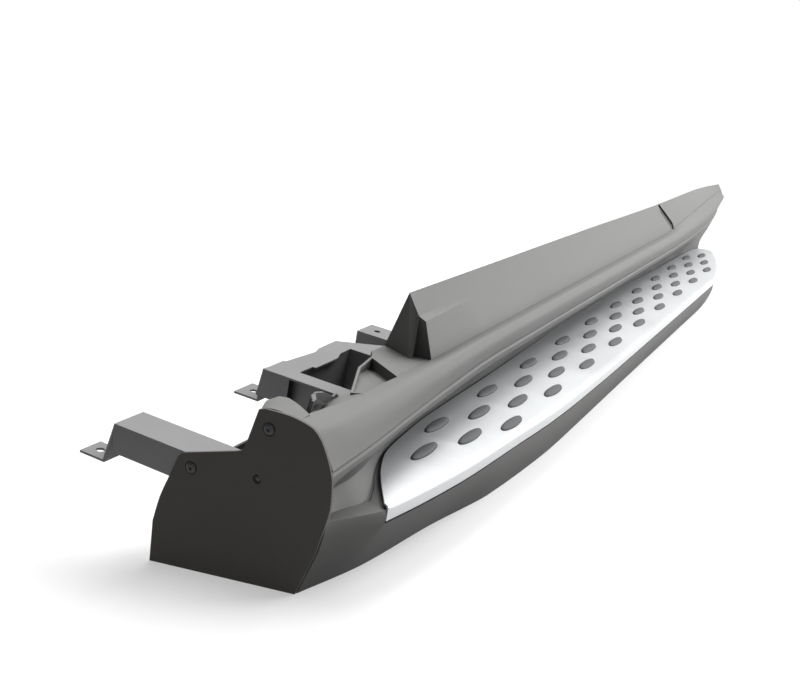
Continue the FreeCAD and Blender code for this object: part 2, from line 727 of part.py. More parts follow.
def tread_mat():
    """Rubber mat under the plate with domed oval grips that stand through it."""
    x0 = PLATE_NEAR_X + 40.0
    x1 = PLATE_FAR_X - 6.0
    outline = plan_line(PLATE_OUTER, x0, x1, PLATE_ROLL_RADIUS + 1.0)
    outline += plan_line(PLATE_INNER, x0, x1, -1.5)[::-1]
    sheet = prism(outline, LEDGE_V, LEDGE_V + MAT_THICKNESS, "v")
    mat = sheet.multiFuse([domed_grip(x, u) for x, u in grip_positions()])
    for x in plate_stud_positions():
        mat = mat.cut(Part.makeCylinder(3.0, 8.0, Vec(x, PLATE_STUD_U, LEDGE_V - 1.0)))
    return mat


PLATE_STUD_U = -30.9


def plate_stud_positions():
    """Weld studs below the plate, between the grips."""
    places = []
    for k in range(0, int((far(200.0) - GRIP_FIRST_X) / (2.0 * GRIP_PITCH)) + 1):
        places.append(GRIP_FIRST_X + 0.25 * GRIP_PITCH + 2.0 * k * GRIP_PITCH)
    return places


def plate_studs():
    """Studs from the plate's underside through mat, ledge and rail."""
    length = MAT_THICKNESS + BODY_WALL + RAIL_THICKNESS + 9.0
    solids = []
    for x in plate_stud_positions():
        stud = Part.makeCylinder(2.5, length, Vec(x, PLATE_STUD_U, -PLATE_THICKNESS - length))
        solids.append(stud)
    return solids


def hex_prism(across, height, at, radius_hole=0.0):
    """Hexagon with an optional round hole, standing on a point."""
    corner = across / math.sqrt(3.0)
    points = []
    for i in range(6):
        angle = math.radians(60.0 * i)
        points.append((at.x + corner * math.cos(angle), at.y + corner * math.sin(angle)))
    solid = prism(points, at.z, at.z + height, "v")
    if radius_hole:
        solid = solid.cut(Part.makeCylinder(radius_hole, height + 2.0, Vec(at.x, at.y, at.z - 1.0)))
    return solid


def plate_nuts():
    """Flange nuts that draw the plate down from under the rail."""
    solids = []
    underside = LEDGE_V - BODY_WALL - RAIL_THICKNESS
    for x in plate_stud_positions():
        flange = Part.makeCylinder(6.5, 1.2, Vec(x, PLATE_STUD_U, underside - 1.2))
        body = hex_prism(8.0, 5.0, Vec(x, PLATE_STUD_U, underside - 5.2))
        bore = Part.makeCylinder(2.5, 8.0, Vec(x, PLATE_STUD_U, underside - 7.0))
        solids.append(flange.fuse(body).cut(bore).removeSplitter())
    return solids


# Steel rail.
RAIL_END_X = BODY_LENGTH - CAP_THICKNESS - RAIL_END_GAP


def support_rail():
    """Folded steel rail: pan under the ledge, step, deck and inboard flange."""
    pan_v = LEDGE_V - BODY_WALL
    path = [
        (-66.0, pan_v), (RAIL_STEP_U, pan_v), (RAIL_STEP_U + 1.0, DECK_V), (RAIL_DECK_U, DECK_V),
        (RAIL_DECK_U + 1.0, DECK_V - RAIL_FLANGE_DEPTH),
    ]
    rail = folded(path, RAIL_START_X, RAIL_END_X, RAIL_THICKNESS)
    edge = []
    for x in (RAIL_PAN_START_X, 130.0, 230.0, 400.0, 700.0, far(348.0), far(200.0), far(100.0), RAIL_END_X + 1.0):
        edge.append((x, smooth(PLATE_OUTER, x) + 16.0))
    trim = [(RAIL_START_X - 1.0, -100.0), (RAIL_START_X - 1.0, RAIL_STEP_U - 3.0), (RAIL_PAN_START_X, RAIL_STEP_U - 3.0)]
    trim += edge + [(RAIL_END_X + 1.0, -100.0)]
    rail = rail.cut(prism(trim, -60.0, 5.0, "v"))
    tab = block(RAIL_START_X, RAIL_START_X + RAIL_THICKNESS, 44.0, 66.0, DECK_V - 1.0, DECK_V + 14.0)
    rail = rail.fuse(tab)
    rail = rail.cut(Part.makeCylinder(2.3, 20.0, Vec(-5.0, CAP_PIN[0], CAP_PIN[1]), Vec(1, 0, 0)))
    for x, u in bracket_bolt_positions():
        rail = rail.cut(Part.makeCylinder(BRACKET_BOLT_RADIUS + 0.3, 12.0, Vec(x, u, DECK_V - 8.0)))
    for x in plate_stud_positions():
        rail = rail.cut(Part.makeCylinder(3.0, 8.0, Vec(x, PLATE_STUD_U, pan_v - 5.0)))
    for x in BODY_FEET_X:
        rail = rail.cut(Part.makeCylinder(2.6, 10.0, Vec(x, INBOARD_WALL_FOOT_U - 12.0, DECK_V - 5.0)))
    return rail.removeSplitter()


# Brackets.
NEAR_BRACKET_X = CAP_THICKNESS + CLEARANCE
THIRD_BRACKET_X = 479.0
FOURTH_BRACKET_X = 1120.0
FAR_BRACKET_X = far(115.0)
NEAR_BRACKET_START_U = 71.0


def channel_bracket(x, start, reach, foot_x0=None, foot_x1=None):
    """Inverted channel on the rail's deck, with a riser and a foot at its inboard end."""
    top = DECK_V + BRACKET_THICKNESS
    side_start = RAIL_DECK_U + 1.5
    shapes = [block(x, x + BRACKET_WIDTH, start, reach, DECK_V, top)]
    for side in (x, x + BRACKET_WIDTH - BRACKET_THICKNESS):
        low = DECK_V - BRACKET_SIDE_DEPTH
        web = prism([(side_start, top), (side_start, low + 14.0), (side_start + 14.0, low),
                     (reach - 8.0, low), (reach, low + 10.0), (reach, top)],
                    side, side + BRACKET_THICKNESS, "x")
        shapes.append(web)
    if foot_x0 is not None:
        path = [(reach - 1.0, top), (reach, top), (reach + FOOT_RUN, top - FOOT_DROP),
                (reach + FOOT_RUN + FOOT_LENGTH, top - FOOT_DROP)]
        foot = folded(path, foot_x0, foot_x1, BRACKET_THICKNESS)
        hole = Part.makeCylinder(FOOT_HOLE_RADIUS, 10.0,
                                 Vec(0.5 * (foot_x0 + foot_x1), foot_hole_u(reach), top - FOOT_DROP - 6.0))
        shapes.append(foot.cut(hole))
    bracket = fuse_all(shapes)
    for bx, bu in bracket_bolt_positions():
        if x <= bx <= x + BRACKET_WIDTH:
            bracket = bracket.cut(Part.makeCylinder(BRACKET_BOLT_RADIUS + 0.3, 10.0, Vec(bx, bu, DECK_V - 3.0)))
    return bracket


def foot_hole_u(reach):
    """Centre of the foot's hole."""
    return reach + FOOT_RUN + 0.55 * FOOT_LENGTH


def bracket_bolt_positions():
    """Bolts of every bracket on the rail's deck."""
    places = [(NEAR_BRACKET_X + 11.0, 84.0), (NEAR_BRACKET_X + 32.0, 84.0)]
    places += [(JACK_START_X + 60.0, 54.0), (JACK_END_X - 40.0, 54.0)]
    for x in (THIRD_BRACKET_X, FOURTH_BRACKET_X, FAR_BRACKET_X):
        places += [(x + 11.0, 54.0), (x + 32.0, 54.0)]
    return places


def near_bracket():
    """Bracket right behind the near end cap; the cap screws to its side."""
    bracket = channel_bracket(NEAR_BRACKET_X, NEAR_BRACKET_START_U, BRACKET_REACH_U,
                              NEAR_BRACKET_X, NEAR_BRACKET_X + 30.0)
    for u, v in NEAR_CAP_STEEL_SCREWS:
        bracket = bracket.cut(Part.makeCylinder(2.0, 12.0, Vec(0.0, u, v), Vec(1, 0, 0)))
    return bracket


def third_bracket():
    """Short bracket with an open inboard end and a hole in its top."""
    bracket = channel_bracket(THIRD_BRACKET_X, BRACKET_START_U, JACK_INBOARD_U + 2.0)
    hole = Part.makeCylinder(FOOT_HOLE_RADIUS, 10.0, Vec(THIRD_BRACKET_X + 0.5 * BRACKET_WIDTH, 192.0, DECK_V - 3.0))
    return bracket.cut(hole)


def fourth_bracket():
    """Bracket in the middle of the board."""
    x = FOURTH_BRACKET_X
    return channel_bracket(x, BRACKET_START_U, BRACKET_REACH_U, x + 6.0, x + 36.0)


def far_bracket():
    """Bracket at the far end, to which the far cap screws."""
    x = FAR_BRACKET_X
    return channel_bracket(x, BRACKET_START_U, BRACKET_REACH_U, x + 6.0, x + 36.0)


def jack_bracket():
    """Wide bracket with the window for the jacking point."""
    top = DECK_V + BRACKET_THICKNESS
    low = DECK_V - BRACKET_SIDE_DEPTH
    thick = BRACKET_THICKNESS
    plan = [
        (JACK_START_X, BRACKET_START_U), (JACK_START_X, JACK_INBOARD_U - 4.0),
        (JACK_START_X + 13.0, JACK_INBOARD_U + 4.0), (JACK_END_X - 39.0, JACK_INBOARD_U),
        (JACK_END_X, JACK_INBOARD_U - 53.0), (JACK_END_X, BRACKET_START_U),
    ]
    shapes = [prism(plan, DECK_V, top, "v")]
    shapes.append(block(JACK_START_X, JACK_START_X + thick, 176.0, JACK_INBOARD_U - 4.0, low, DECK_V))
    shapes.append(block(JACK_END_X - thick, JACK_END_X, RAIL_DECK_U + 1.5, JACK_INBOARD_U - 53.0, low, DECK_V))
    x0 = JACK_WINDOW_X
    x1 = JACK_WINDOW_X + JACK_WINDOW_LENGTH
    u0 = JACK_WINDOW_U
    u1 = JACK_WINDOW_U + JACK_WINDOW_WIDTH
    rim = DECK_V - 16.0
    shapes.append(block(x0 - thick, x0, u0 - thick, u1 + thick, rim, DECK_V))
    shapes.append(block(x1, x1 + thick, u0 - thick, u1 + thick, rim, DECK_V))
    shapes.append(block(x0, x1, u0 - thick, u0, rim, DECK_V))
    shapes.append(block(x0, x1, u1, u1 + thick, rim, DECK_V))
    path = [(JACK_INBOARD_U - 6.0, top), (JACK_INBOARD_U + 2.0, top), (JACK_INBOARD_U + 9.0, top - FOOT_DROP),
            (JACK_INBOARD_U + 41.0, top - FOOT_DROP)]
    foot = folded(path, JACK_START_X + 5.0, JACK_START_X + 44.0, thick)
    hole = Part.makeCylinder(FOOT_HOLE_RADIUS, 10.0,
                             Vec(JACK_START_X + 24.5, JACK_INBOARD_U + 26.0, top - FOOT_DROP - 6.0))
    shapes.append(foot.cut(hole))
    bracket = fuse_all(shapes)
    bracket = bracket.cut(block(x0, x1, u0, u1, DECK_V - 1.0, top + 1.0))
    for bx, bu in bracket_bolt_positions():
        if JACK_START_X < bx < JACK_END_X:
            bracket = bracket.cut(Part.makeCylinder(BRACKET_BOLT_RADIUS + 0.3, 10.0, Vec(bx, bu, DECK_V - 3.0)))
    return bracket


WASHER_THICKNESS = 1.6


def bracket_washers():
    """Plain washers on top of the brackets."""
    top = DECK_V + BRACKET_THICKNESS
    solids = []
    for x, u in bracket_bolt_positions():
        disc = Part.makeCylinder(8.5, WASHER_THICKNESS, Vec(x, u, top))
        solids.append(disc.cut(Part.makeCylinder(BRACKET_BOLT_RADIUS + 0.2, 5.0, Vec(x, u, top - 1.0))))
    return solids


def bracket_bolts():
    """Hexagon bolts through bracket and deck."""
    seat = DECK_V + BRACKET_THICKNESS + WASHER_THICKNESS
    length = BRACKET_THICKNESS + WASHER_THICKNESS + RAIL_THICKNESS + 10.0
    solids = []
    for x, u in bracket_bolt_positions():
        head = hex_prism(13.0, 5.3, Vec(x, u, seat))
        shank = Part.makeCylinder(BRACKET_BOLT_RADIUS, length + 0.5, Vec(x, u, seat - length))
        solids.append(head.fuse(shank).removeSplitter())
    return solids


def bracket_nuts():
    """Flange nuts under the deck."""
    underside = DECK_V - RAIL_THICKNESS
    solids = []
    for x, u in bracket_bolt_positions():
        flange = Part.makeCylinder(8.5, 1.5, Vec(x, u, underside - 1.5))
        body = hex_prism(13.0, 7.5, Vec(x, u, underside - 8.0))
        bore = Part.makeCylinder(BRACKET_BOLT_RADIUS, 12.0, Vec(x, u, underside - 10.0))
        solids.append(flange.fuse(body).cut(bore).removeSplitter())
    return solids


def body_screws():
    """Screws that hold the feet of the inboard wall on the deck."""
    solids = []
    for x in BODY_FEET_X:
        screw = pan_screw(13.0, 4.6)
        screw.rotate(Vec(0, 0, 0), Vec(0, 1, 0), 90.0)
        screw.translate(Vec(x, INBOARD_WALL_FOOT_U - 12.0, DECK_V + BODY_WALL))
        solids.append(screw)
    return solids


def deck_clip_nuts():
    """Clip nuts under the deck that take the body's screws."""
    solids = []
    underside = DECK_V - RAIL_THICKNESS
    for x in BODY_FEET_X:
        u = INBOARD_WALL_FOOT_U - 12.0
        plate = block(x - 8.0, x + 8.0, u - 7.0, u + 7.0, underside - 1.2, underside)
        collar = Part.makeCylinder(4.0, 4.0, Vec(x, u, underside - 5.0))
        solids.append(plate.fuse(collar).cut(Part.makeCylinder(2.0, 12.0, Vec(x, u, underside - 8.0))).removeSplitter())
    return solids


def lean(shape):
    """Turn a shape from the tread's frame to the rest pose on the flat underside."""
    result = shape.copy()
    result.rotate(Vec(0, 0, 0), Vec(1, 0, 0), UNDERSIDE_LEAN)
    drop = UNDERSIDE_DROP * math.cos(math.radians(UNDERSIDE_LEAN))
    result.translate(Vec(0, 0, drop))
    return result


def build():
    """All nodes in the rest pose, origin under the middle of the whole."""
    nodes = {
        "body_moulding": [body_moulding()],
        "under_cover": [under_cover()],
        "near_end_cap": [near_end_cap()],
        "far_end_cap": [far_end_cap()],
        "cap_screws": cap_screws(),
        "cap_pin": cap_pin(),
        "slot_insert": [slot_insert()],
        "tread_plate": [tread_plate()],
        "tread_mat": [tread_mat()],
        "plate_studs": plate_studs(),
        "plate_nuts": plate_nuts(),
        "support_rail": [support_rail()],
        "near_bracket": [near_bracket()],
        "jack_bracket": [jack_bracket()],
        "third_bracket": [third_bracket()],
        "fourth_bracket": [fourth_bracket()],
        "far_bracket": [far_bracket()],
        "bracket_bolts": bracket_bolts(),
        "bracket_washers": bracket_washers(),
        "bracket_nuts": bracket_nuts(),
        "body_screws": body_screws(),
        "deck_clip_nuts": deck_clip_nuts(),
        "cover_rivets": cover_rivets(),
    }
    placed = {}
    box = FreeCAD.BoundBox()
    for name, shapes in nodes.items():
        solids = []
        for shape in shapes:
            solids.extend(lean(shape).Solids)
        placed[name] = solids
        for solid in solids:
            box.add(solid.optimalBoundingBox(False, False))
    shift = Vec(-box.Center.x, -box.Center.y, -box.ZMin)
    for name, solids in placed.items():
        for solid in solids:
            solid.translate(shift)
    return placed, shift


def main():
    os.makedirs("parts", exist_ok=True)
    placed, shift = build()
    print("shift", shift)
    for name, solids in placed.items():
        shape = solids[0] if len(solids) == 1 else Part.makeCompound(solids)
        shape.exportStep("parts/" + name + ".step")
        volume = sum(solid.Volume for solid in solids)
        print(name, "solids", len(solids), "valid", shape.isValid(), "volume", round(volume))


if __name__ == "__main__":
    main()
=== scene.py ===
"""Studio scene of a side step (running board) on a pale floor.

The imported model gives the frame: every piece here takes its place from it, in metres,
with +X along the board, +Y towards the car and +Z up from the flat underside.
"""
import logging
import math
from dataclasses import dataclass
from enum import Enum
from typing import Callable

import bmesh
import bpy
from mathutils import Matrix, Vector


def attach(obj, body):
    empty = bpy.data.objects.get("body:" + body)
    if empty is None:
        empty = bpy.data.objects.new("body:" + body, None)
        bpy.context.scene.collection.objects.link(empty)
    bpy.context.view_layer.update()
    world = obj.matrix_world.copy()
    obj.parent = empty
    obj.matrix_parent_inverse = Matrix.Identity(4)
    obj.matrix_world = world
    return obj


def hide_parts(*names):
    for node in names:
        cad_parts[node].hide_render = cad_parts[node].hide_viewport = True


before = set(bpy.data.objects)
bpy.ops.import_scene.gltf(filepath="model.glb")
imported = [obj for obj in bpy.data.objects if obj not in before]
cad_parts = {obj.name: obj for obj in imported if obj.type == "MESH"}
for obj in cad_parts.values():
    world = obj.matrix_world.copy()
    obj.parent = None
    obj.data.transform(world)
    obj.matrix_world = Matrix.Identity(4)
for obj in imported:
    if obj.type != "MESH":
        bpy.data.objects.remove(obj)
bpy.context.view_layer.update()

log = logging.getLogger("running_board")

Triple = tuple[float, float, float]
Pair = tuple[float, float]
Path = list[Pair]
Form = bmesh.types.BMesh
Piece = bpy.types.Object
Socket = bpy.types.NodeSocket
Plugs = dict[str | int, Socket | float | tuple[float, ...]]

# Places along the board, millimetres: where the body, the plate and the ridge begin or end.
BODY_START = 3.0
BODY_LENGTH = 1875.0
PLATE_END = BODY_LENGTH - 19.0
RIDGE_START = 282.0
TIP_LENGTH = 2058.0

# How far the near and the far curves of the body reach, and the steps in which the near
# part, the middle and the far part are shaped, millimetres.
NEAR_CURVES, FAR_CURVES = 300.0, 480.0
NEAR_STEP, MIDDLE_STEP, FAR_STEP = 10.0, 45.0, 20.0

# Height of the tread's middle line over the floor, square to the tread, millimetres.
TREAD_LEVEL = 84.5

# Levels in the tread's frame, millimetres: where the skirt bends, and the rail's deck.
SKIRT_BREAK = -36.0
DECK = 6.5

# Angles between faces, degrees: up to the first they count as one flat face, over the
# second their edge stays crisp, and over the third it is rounded.
FLAT_ANGLE = 0.6
CRISP_ANGLE = 28.0
ROUNDED_ANGLE = 40.0

# Colour of the pale dust with painted top light, linear, and how far round a face the painted shade
# in hollows reaches, metres.
DUST_AND_TOP_LIGHT_COLOUR = (0.46, 0.45, 0.43)
PAINTED_SHADE_REACH = 0.09


@dataclass(frozen=True)
class TreadFrame:
    """The tread's own frame: x along the board, u towards the car, v square to the tread.

    Attributes:
        lean: Angle between the tread and the floor, radians.
        along: Row x of the board's near end, metres.
        across: Row y of the tread's middle line at the tread's level, metres.
        height: Row z of the same line, metres.
    """

    lean: float = math.radians(10.97)
    along: float = -1.0283
    across: float = -0.0877363
    height: float = 0.0845 * math.cos(math.radians(10.97))

    def at(self, x: float, u: float, v: float) -> Vector:
        """Give the place of a point of the tread's frame.

        Args:
            x: Distance along the board, millimetres.
            u: Distance towards the car, millimetres.
            v: Height over the tread, millimetres.

        Returns:
            The point in the row's frame, metres.
        """
        cos = math.cos(self.lean)
        sin = math.sin(self.lean)
        y = 0.001 * (u * cos - v * sin)
        z = 0.001 * (u * sin + v * cos)
        return Vector((self.along + 0.001 * x, self.across + y, self.height + z))

    def back(self, point: Vector) -> Triple:
        """Give a row point's place in the tread's frame, millimetres.

        Args:
            point: The point in the row's frame, metres.

        Returns:
            Its x, u and v, millimetres.
        """
        cos = math.cos(self.lean)
        sin = math.sin(self.lean)
        y = 1000.0 * (point.y - self.across)
        z = 1000.0 * (point.z - self.height)
        return 1000.0 * (point.x - self.along), y * cos + z * sin, z * cos - y * sin


TREAD = TreadFrame()


class Grain(Enum):
    """Surface grains that the moulded and pressed pieces carry."""

    STIPPLE = "stipple"
    LEATHER = "leather"
    BRUSHED = "brushed"
    SMOOTH = "smooth"


@dataclass(frozen=True)
class Wiring:
    """A node tree, with short ways to add nodes to it.

    Attributes:
        tree: The node tree.
    """

    tree: bpy.types.NodeTree

    def fill(self, node: bpy.types.Node, inputs: Plugs) -> None:
        """Fill inputs of a node.

        Args:
            node: The node.
            inputs: For each input the socket that it is joined to, or its value.
        """
        for key, plug in inputs.items():
            if isinstance(plug, Socket):
                self.tree.links.new(plug, node.inputs[key])
            else:
                node.inputs[key].default_value = plug

    def add(self, kind: str, inputs: Plugs | None = None, **options: object) -> bpy.types.Node:
        """Add a node.

        Args:
            kind: Its type, without the common beginning.
            inputs: For each input the socket that it is joined to, or its value.
            **options: Its options.

        Returns:
            The node.
        """
        node = self.tree.nodes.new("ShaderNode" + kind)
        for option, value in options.items():
            setattr(node, option, value)
        self.fill(node, inputs or {})
        return node

    def spread(
        self, value: Socket, ends: Pair, reach: Pair = (0.0, 1.0), **options: object
    ) -> Socket:
        """Map a value, and hold it between two ends.

        Args:
            value: The value.
            ends: What comes out at the two ends.
            reach: What goes in at the two ends.
            **options: Options of the node.

        Returns:
            The mapped value.
        """
        inputs = {"Value": value, "From Min": reach[0], "From Max": reach[1]}
        inputs |= {"To Min": ends[0], "To Max": ends[1]}
        return self.add("MapRange", inputs, **options).outputs["Result"]

    def combine(self, operation: str, first: Socket, second: Socket | float) -> Socket:
        """Work one value out of two."""
        return self.add("Math", {0: first, 1: second}, operation=operation).outputs["Value"]

    def scale(self, colour: Socket | Triple, share: Socket) -> Socket:
        """Scale a colour."""
        node = self.add("VectorMath", {0: colour, "Scale": share}, operation="SCALE")
        return node.outputs["Vector"]

    def blend(self, share: Socket, first: Socket, second: Triple) -> Socket:
        """Blend a second colour into the first."""
        inputs = {"Factor": share, "A": first, "B": (*second, 1.0)}
        return self.add("Mix", inputs, data_type="RGBA").outputs["Result"]

    def noise(self, place: Socket, scale: float, detail: float) -> Socket:
        """Make a cloudy pattern."""
        inputs = {"Vector": place, "Scale": scale, "Detail": detail}
        return self.add("TexNoise", inputs).outputs["Fac"]


@dataclass(frozen=True)
class Finish:
    """A procedural surface finish.

    Attributes:
        name: Name of the finish, which its material is called after.
        colour: Base colour, linear.
        roughness: Middle of the roughness.
        metallic: Metallic share.
        grain: Which grain the surface carries.
        grain_size: Size of one grain cell, metres.
        grain_depth: Height of the grain, metres.
        mottle: Share by which the colour varies over the piece.
        dust_and_top_light: Share of pale dust with painted top light on faces that look up.
        edge: Radius of the softened edge, metres.
        edge_highlight: Share by which edges are lighter, a painted highlight.
        specular: Specular level of the shader.
        painted_shade: Share by which hollows and undercuts are darker, a painted shade.
    """

    name: str
    colour: Triple
    roughness: float
    metallic: float = 0.0
    grain: Grain = Grain.STIPPLE
    grain_size: float = 0.0009
    grain_depth: float = 0.00004
    mottle: float = 0.06
    dust_and_top_light: float = 0.0
    edge: float = 0.0008
    edge_highlight: float = 0.0
    specular: float = 0.5
    painted_shade: float = 0.0

    def material(self) -> bpy.types.Material:
        """Return the finish's material, which is made once."""
        return bpy.data.materials.get(self.name + "_look") or self._build()

    def _build(self) -> bpy.types.Material:
        """Make the node material.

        Returns:
            The finished material.
        """
        material = bpy.data.materials.new(self.name + "_look")
        material.use_nodes = True
        wiring = Wiring(material.node_tree)
        place = wiring.add("TexCoord").outputs["Object"]
        coarse = wiring.noise(place, 9.0, 5.0)
        tone = wiring.spread(coarse, (1.0 - self.mottle, 1.0 + self.mottle))
        colour = wiring.scale(self.colour, tone)
        bevel = wiring.add("Bevel", {"Radius": self.edge}, samples=6).outputs["Normal"]
        # Pale dust with painted top light: faces that look up are lighter.
        if self.dust_and_top_light > 0.0:
            colour = self._add_dust_and_top_light(wiring, colour, place)
        # Painted highlight: the edges are lightened.
        if self.edge_highlight > 0.0:
            colour = self._add_edge_highlight(wiring, colour, bevel)
        # Painted shade: hollows and undercuts are darkened.
        if self.painted_shade > 0.0:
            colour = self._add_painted_shade(wiring, colour)
        rough = (max(self.roughness - 0.06, 0.05), min(self.roughness + 0.08, 1.0))
        wiring.fill(material.node_tree.nodes["Principled BSDF"], {
            "Base Color": colour,
            "Roughness": wiring.spread(coarse, rough),
            "Metallic": self.metallic,
            "Specular IOR Level": self.specular,
            "Normal": self._grained(wiring, place, bevel),
        })
        return material

    def _add_dust_and_top_light(self, wiring: Wiring, colour: Socket, place: Socket) -> Socket:
        """Add pale dust, in patches, with painted top light to faces that look up.

        Args:
            wiring: Node tree of the material.
            colour: Colour so far.
            place: Place on the piece.

        Returns:
            The colour with dust and painted top light.
        """
        normal = wiring.add("NewGeometry").outputs["Normal"]
        # Dust with painted top light: lighter in noisy patches the more a face looks up.
        up = wiring.add("SeparateXYZ", {"Vector": normal}).outputs["Z"]
        lying = wiring.spread(up, (0.0, self.dust_and_top_light), (0.35, 0.98))
        share = wiring.combine("MULTIPLY", lying, wiring.noise(place, 34.0, 6.0))
        return wiring.blend(share, colour, DUST_AND_TOP_LIGHT_COLOUR)

    def _add_edge_highlight(self, wiring: Wiring, colour: Socket, bevel: Socket) -> Socket:
        """Paint a highlight on the edges, where the softened normal leaves the face's own.

        Args:
            wiring: Node tree of the material.
            colour: Colour so far.
            bevel: Normal with softened edges.

        Returns:
            The colour with painted edge highlights.
        """
        normal = wiring.add("NewGeometry").outputs["Normal"]
        turn = wiring.add("VectorMath", {0: normal, 1: bevel}, operation="DOT_PRODUCT")
        mask = wiring.spread(turn.outputs["Value"], (0.0, self.edge_highlight), (0.995, 0.80))
        # Painted highlight: a lighter copy of the base colour along the edges.
        edge_highlight_colour = tuple(min(1.0, 1.9 * part + 0.05) for part in self.colour)
        return wiring.blend(mask, colour, edge_highlight_colour)

    def _add_painted_shade(self, wiring: Wiring, colour: Socket) -> Socket:
        """Paint shade into hollows and undercuts, darker where ambient occlusion finds faces close
        by.
        """
        # Painted shade: the colour is scaled down where ambient occlusion finds faces close by.
        cover = wiring.add("AmbientOcclusion", {"Distance": PAINTED_SHADE_REACH}, samples=8).outputs["AO"]
        return wiring.scale(colour, wiring.spread(cover, (1.0 - self.painted_shade, 1.0), (0.42, 0.95)))

    def _grained(self, wiring: Wiring, place: Socket, bevel: Socket) -> Socket:
        """Add the grain to the softened edges.

        Args:
            wiring: Node tree of the material.
            place: Place on the piece.
            bevel: Normal with softened edges.

        Returns:
            The finished normal.
        """
        fine = 1.0 / self.grain_size
        if self.grain is Grain.SMOOTH:
            return bevel
        if self.grain is Grain.LEATHER:
            cells = wiring.add("TexVoronoi", {"Vector": place, "Scale": fine}, feature="SMOOTH_F1")
            height = cells.outputs["Distance"]
        elif self.grain is Grain.BRUSHED:
            stretch = wiring.add("Mapping", {"Vector": place, "Scale": (4.0, fine, fine)})
            height = wiring.noise(stretch.outputs["Vector"], 1.0, 3.0)
        else:
            height = wiring.noise(place, fine, 2.0)
        bump = {"Height": height, "Normal": bevel, "Distance": self.grain_depth, "Strength": 1.0}
        return wiring.add("Bump", bump).outputs["Normal"]


BODY_PLASTIC = Finish(
    "body_plastic", (0.124, 0.124, 0.12), 0.62, grain=Grain.LEATHER,
    # Painted light on the body: shade in hollows, a highlight on edges, top light with the dust.
    dust_and_top_light=0.06, edge_highlight=0.2, specular=0.45, painted_shade=0.62,
)
COVER_PLASTIC = Finish("cover_plastic", (0.05, 0.05, 0.05), 0.65, edge_highlight=0.2, specular=0.3)
CAP_PLASTIC = Finish("cap_plastic", (0.115, 0.11, 0.102), 0.65, edge_highlight=0.15, specular=0.25)
INSERT_RUBBER = Finish("insert_rubber", (0.085, 0.085, 0.085), 0.75, specular=0.2)
PLATE_ALUMINIUM = Finish(
    "plate_aluminium", (0.50, 0.51, 0.52), 0.40, metallic=0.9, grain=Grain.BRUSHED,
    grain_size=0.0004, grain_depth=0.000008, mottle=0.02, edge=0.0006,
)
MAT_RUBBER = Finish("mat_rubber", (0.062, 0.066, 0.07), 0.62, mottle=0.12, specular=0.35)
BRACKET_PAINT = Finish(
    "bracket_steel", (0.178, 0.178, 0.182), 0.45, metallic=0.3, grain_size=0.002,
    # Painted light on the brackets: shade in hollows, a highlight on edges, top light with the
    # dust.
    grain_depth=0.00003, dust_and_top_light=0.05, edge_highlight=0.3, mottle=0.08, specular=0.35, painted_shade=0.3,
)
RAIL_PAINT = Finish("rail_steel", (0.06, 0.06, 0.062), 0.45, grain_size=0.002, edge_highlight=0.2)
ZINC = Finish("zinc_steel", (0.62, 0.62, 0.6), 0.35, metallic=1.0, grain=Grain.SMOOTH)
SCREW_BLACK = Finish("screw_steel", (0.03, 0.03, 0.033), 0.4, grain=Grain.SMOOTH, edge_highlight=0.3)
RIVET_PLASTIC = Finish("rivet_plastic", (0.035, 0.035, 0.035), 0.55, edge_highlight=0.2)


class Axis(Enum):
    """Directions of the tread's frame in which a plain outline is drawn out."""

    ALONG = "along"
    ACROSS = "across"
    UP = "up"


class Work(Enum):
    """What is done to a form with others."""

    JOIN = "UNION"
    CUT = "DIFFERENCE"


@dataclass(frozen=True)
class Line:
    """A long line of the board: one value for every place along it.

    Attributes:
        stations: Places along the board with their values, millimetres.
    """

    stations: tuple[Pair, ...]

    def at(self, x: float) -> float:
        """Give the line's value, smooth and without overshoot.

        Args:
            x: Place along the board.

        Returns:
            The value there.
        """
        table = self.stations
        if x <= table[0][0]:
            return table[0][1]
        chord = [(b[1] - a[1]) / (b[0] - a[0]) for a, b in zip(table, table[1:])]
        slope = [chord[0]]
        for left, right in zip(chord, chord[1:]):
            slope.append(0.0 if left * right <= 0.0 else 2.0 * left * right / (left + right))
        slope.append(chord[-1])
        for i, ((x0, y0), (x1, y1)) in enumerate(zip(table, table[1:])):
            if x <= x1:
                h = x1 - x0
                t = (x - x0) / h
                start = (1.0 + 2.0 * t) * (1.0 - t) ** 2 * y0 + t * (1.0 - t) ** 2 * h * slope[i]
                return start + t * t * (3.0 - 2.0 * t) * y1 + t * t * (t - 1.0) * h * slope[i + 1]
        return table[-1][1]


def far(distance: float) -> float:
    """Give a place measured back from the end of the lower body."""
    return BODY_LENGTH - distance


PLATE_OUTER = Line((
    (61.0, -48.0), (128.0, -59.0), (220.0, -70.0), (340.0, -78.0), (467.0, -86.0), (573.0, -88.5),
    (760.0, -90.0), (far(348.0), -90.5), (far(257.0), -82.0), (far(113.0), -57.0),
    (PLATE_END, -30.0),
))
PLATE_INNER = Line((
    (61.0, -48.0), (66.0, -44.5), (74.0, -39.5), (119.0, -13.0), (145.0, -1.0), (176.0, 9.0),
    (226.0, 15.0), (300.0, 20.0), (476.0, 22.0), (918.0, 30.0), (far(664.0), 28.0),
    (far(432.0), 22.0), (far(206.0), 17.0), (far(70.0), 11.0), (far(38.0), 7.0),
    (far(24.0), 0.0), (PLATE_END, -8.0),
))


def floor_level(u: float) -> float:
    """Give the height of the flat underside in the tread's frame."""
    return -TREAD_LEVEL - math.tan(TREAD.lean) * u


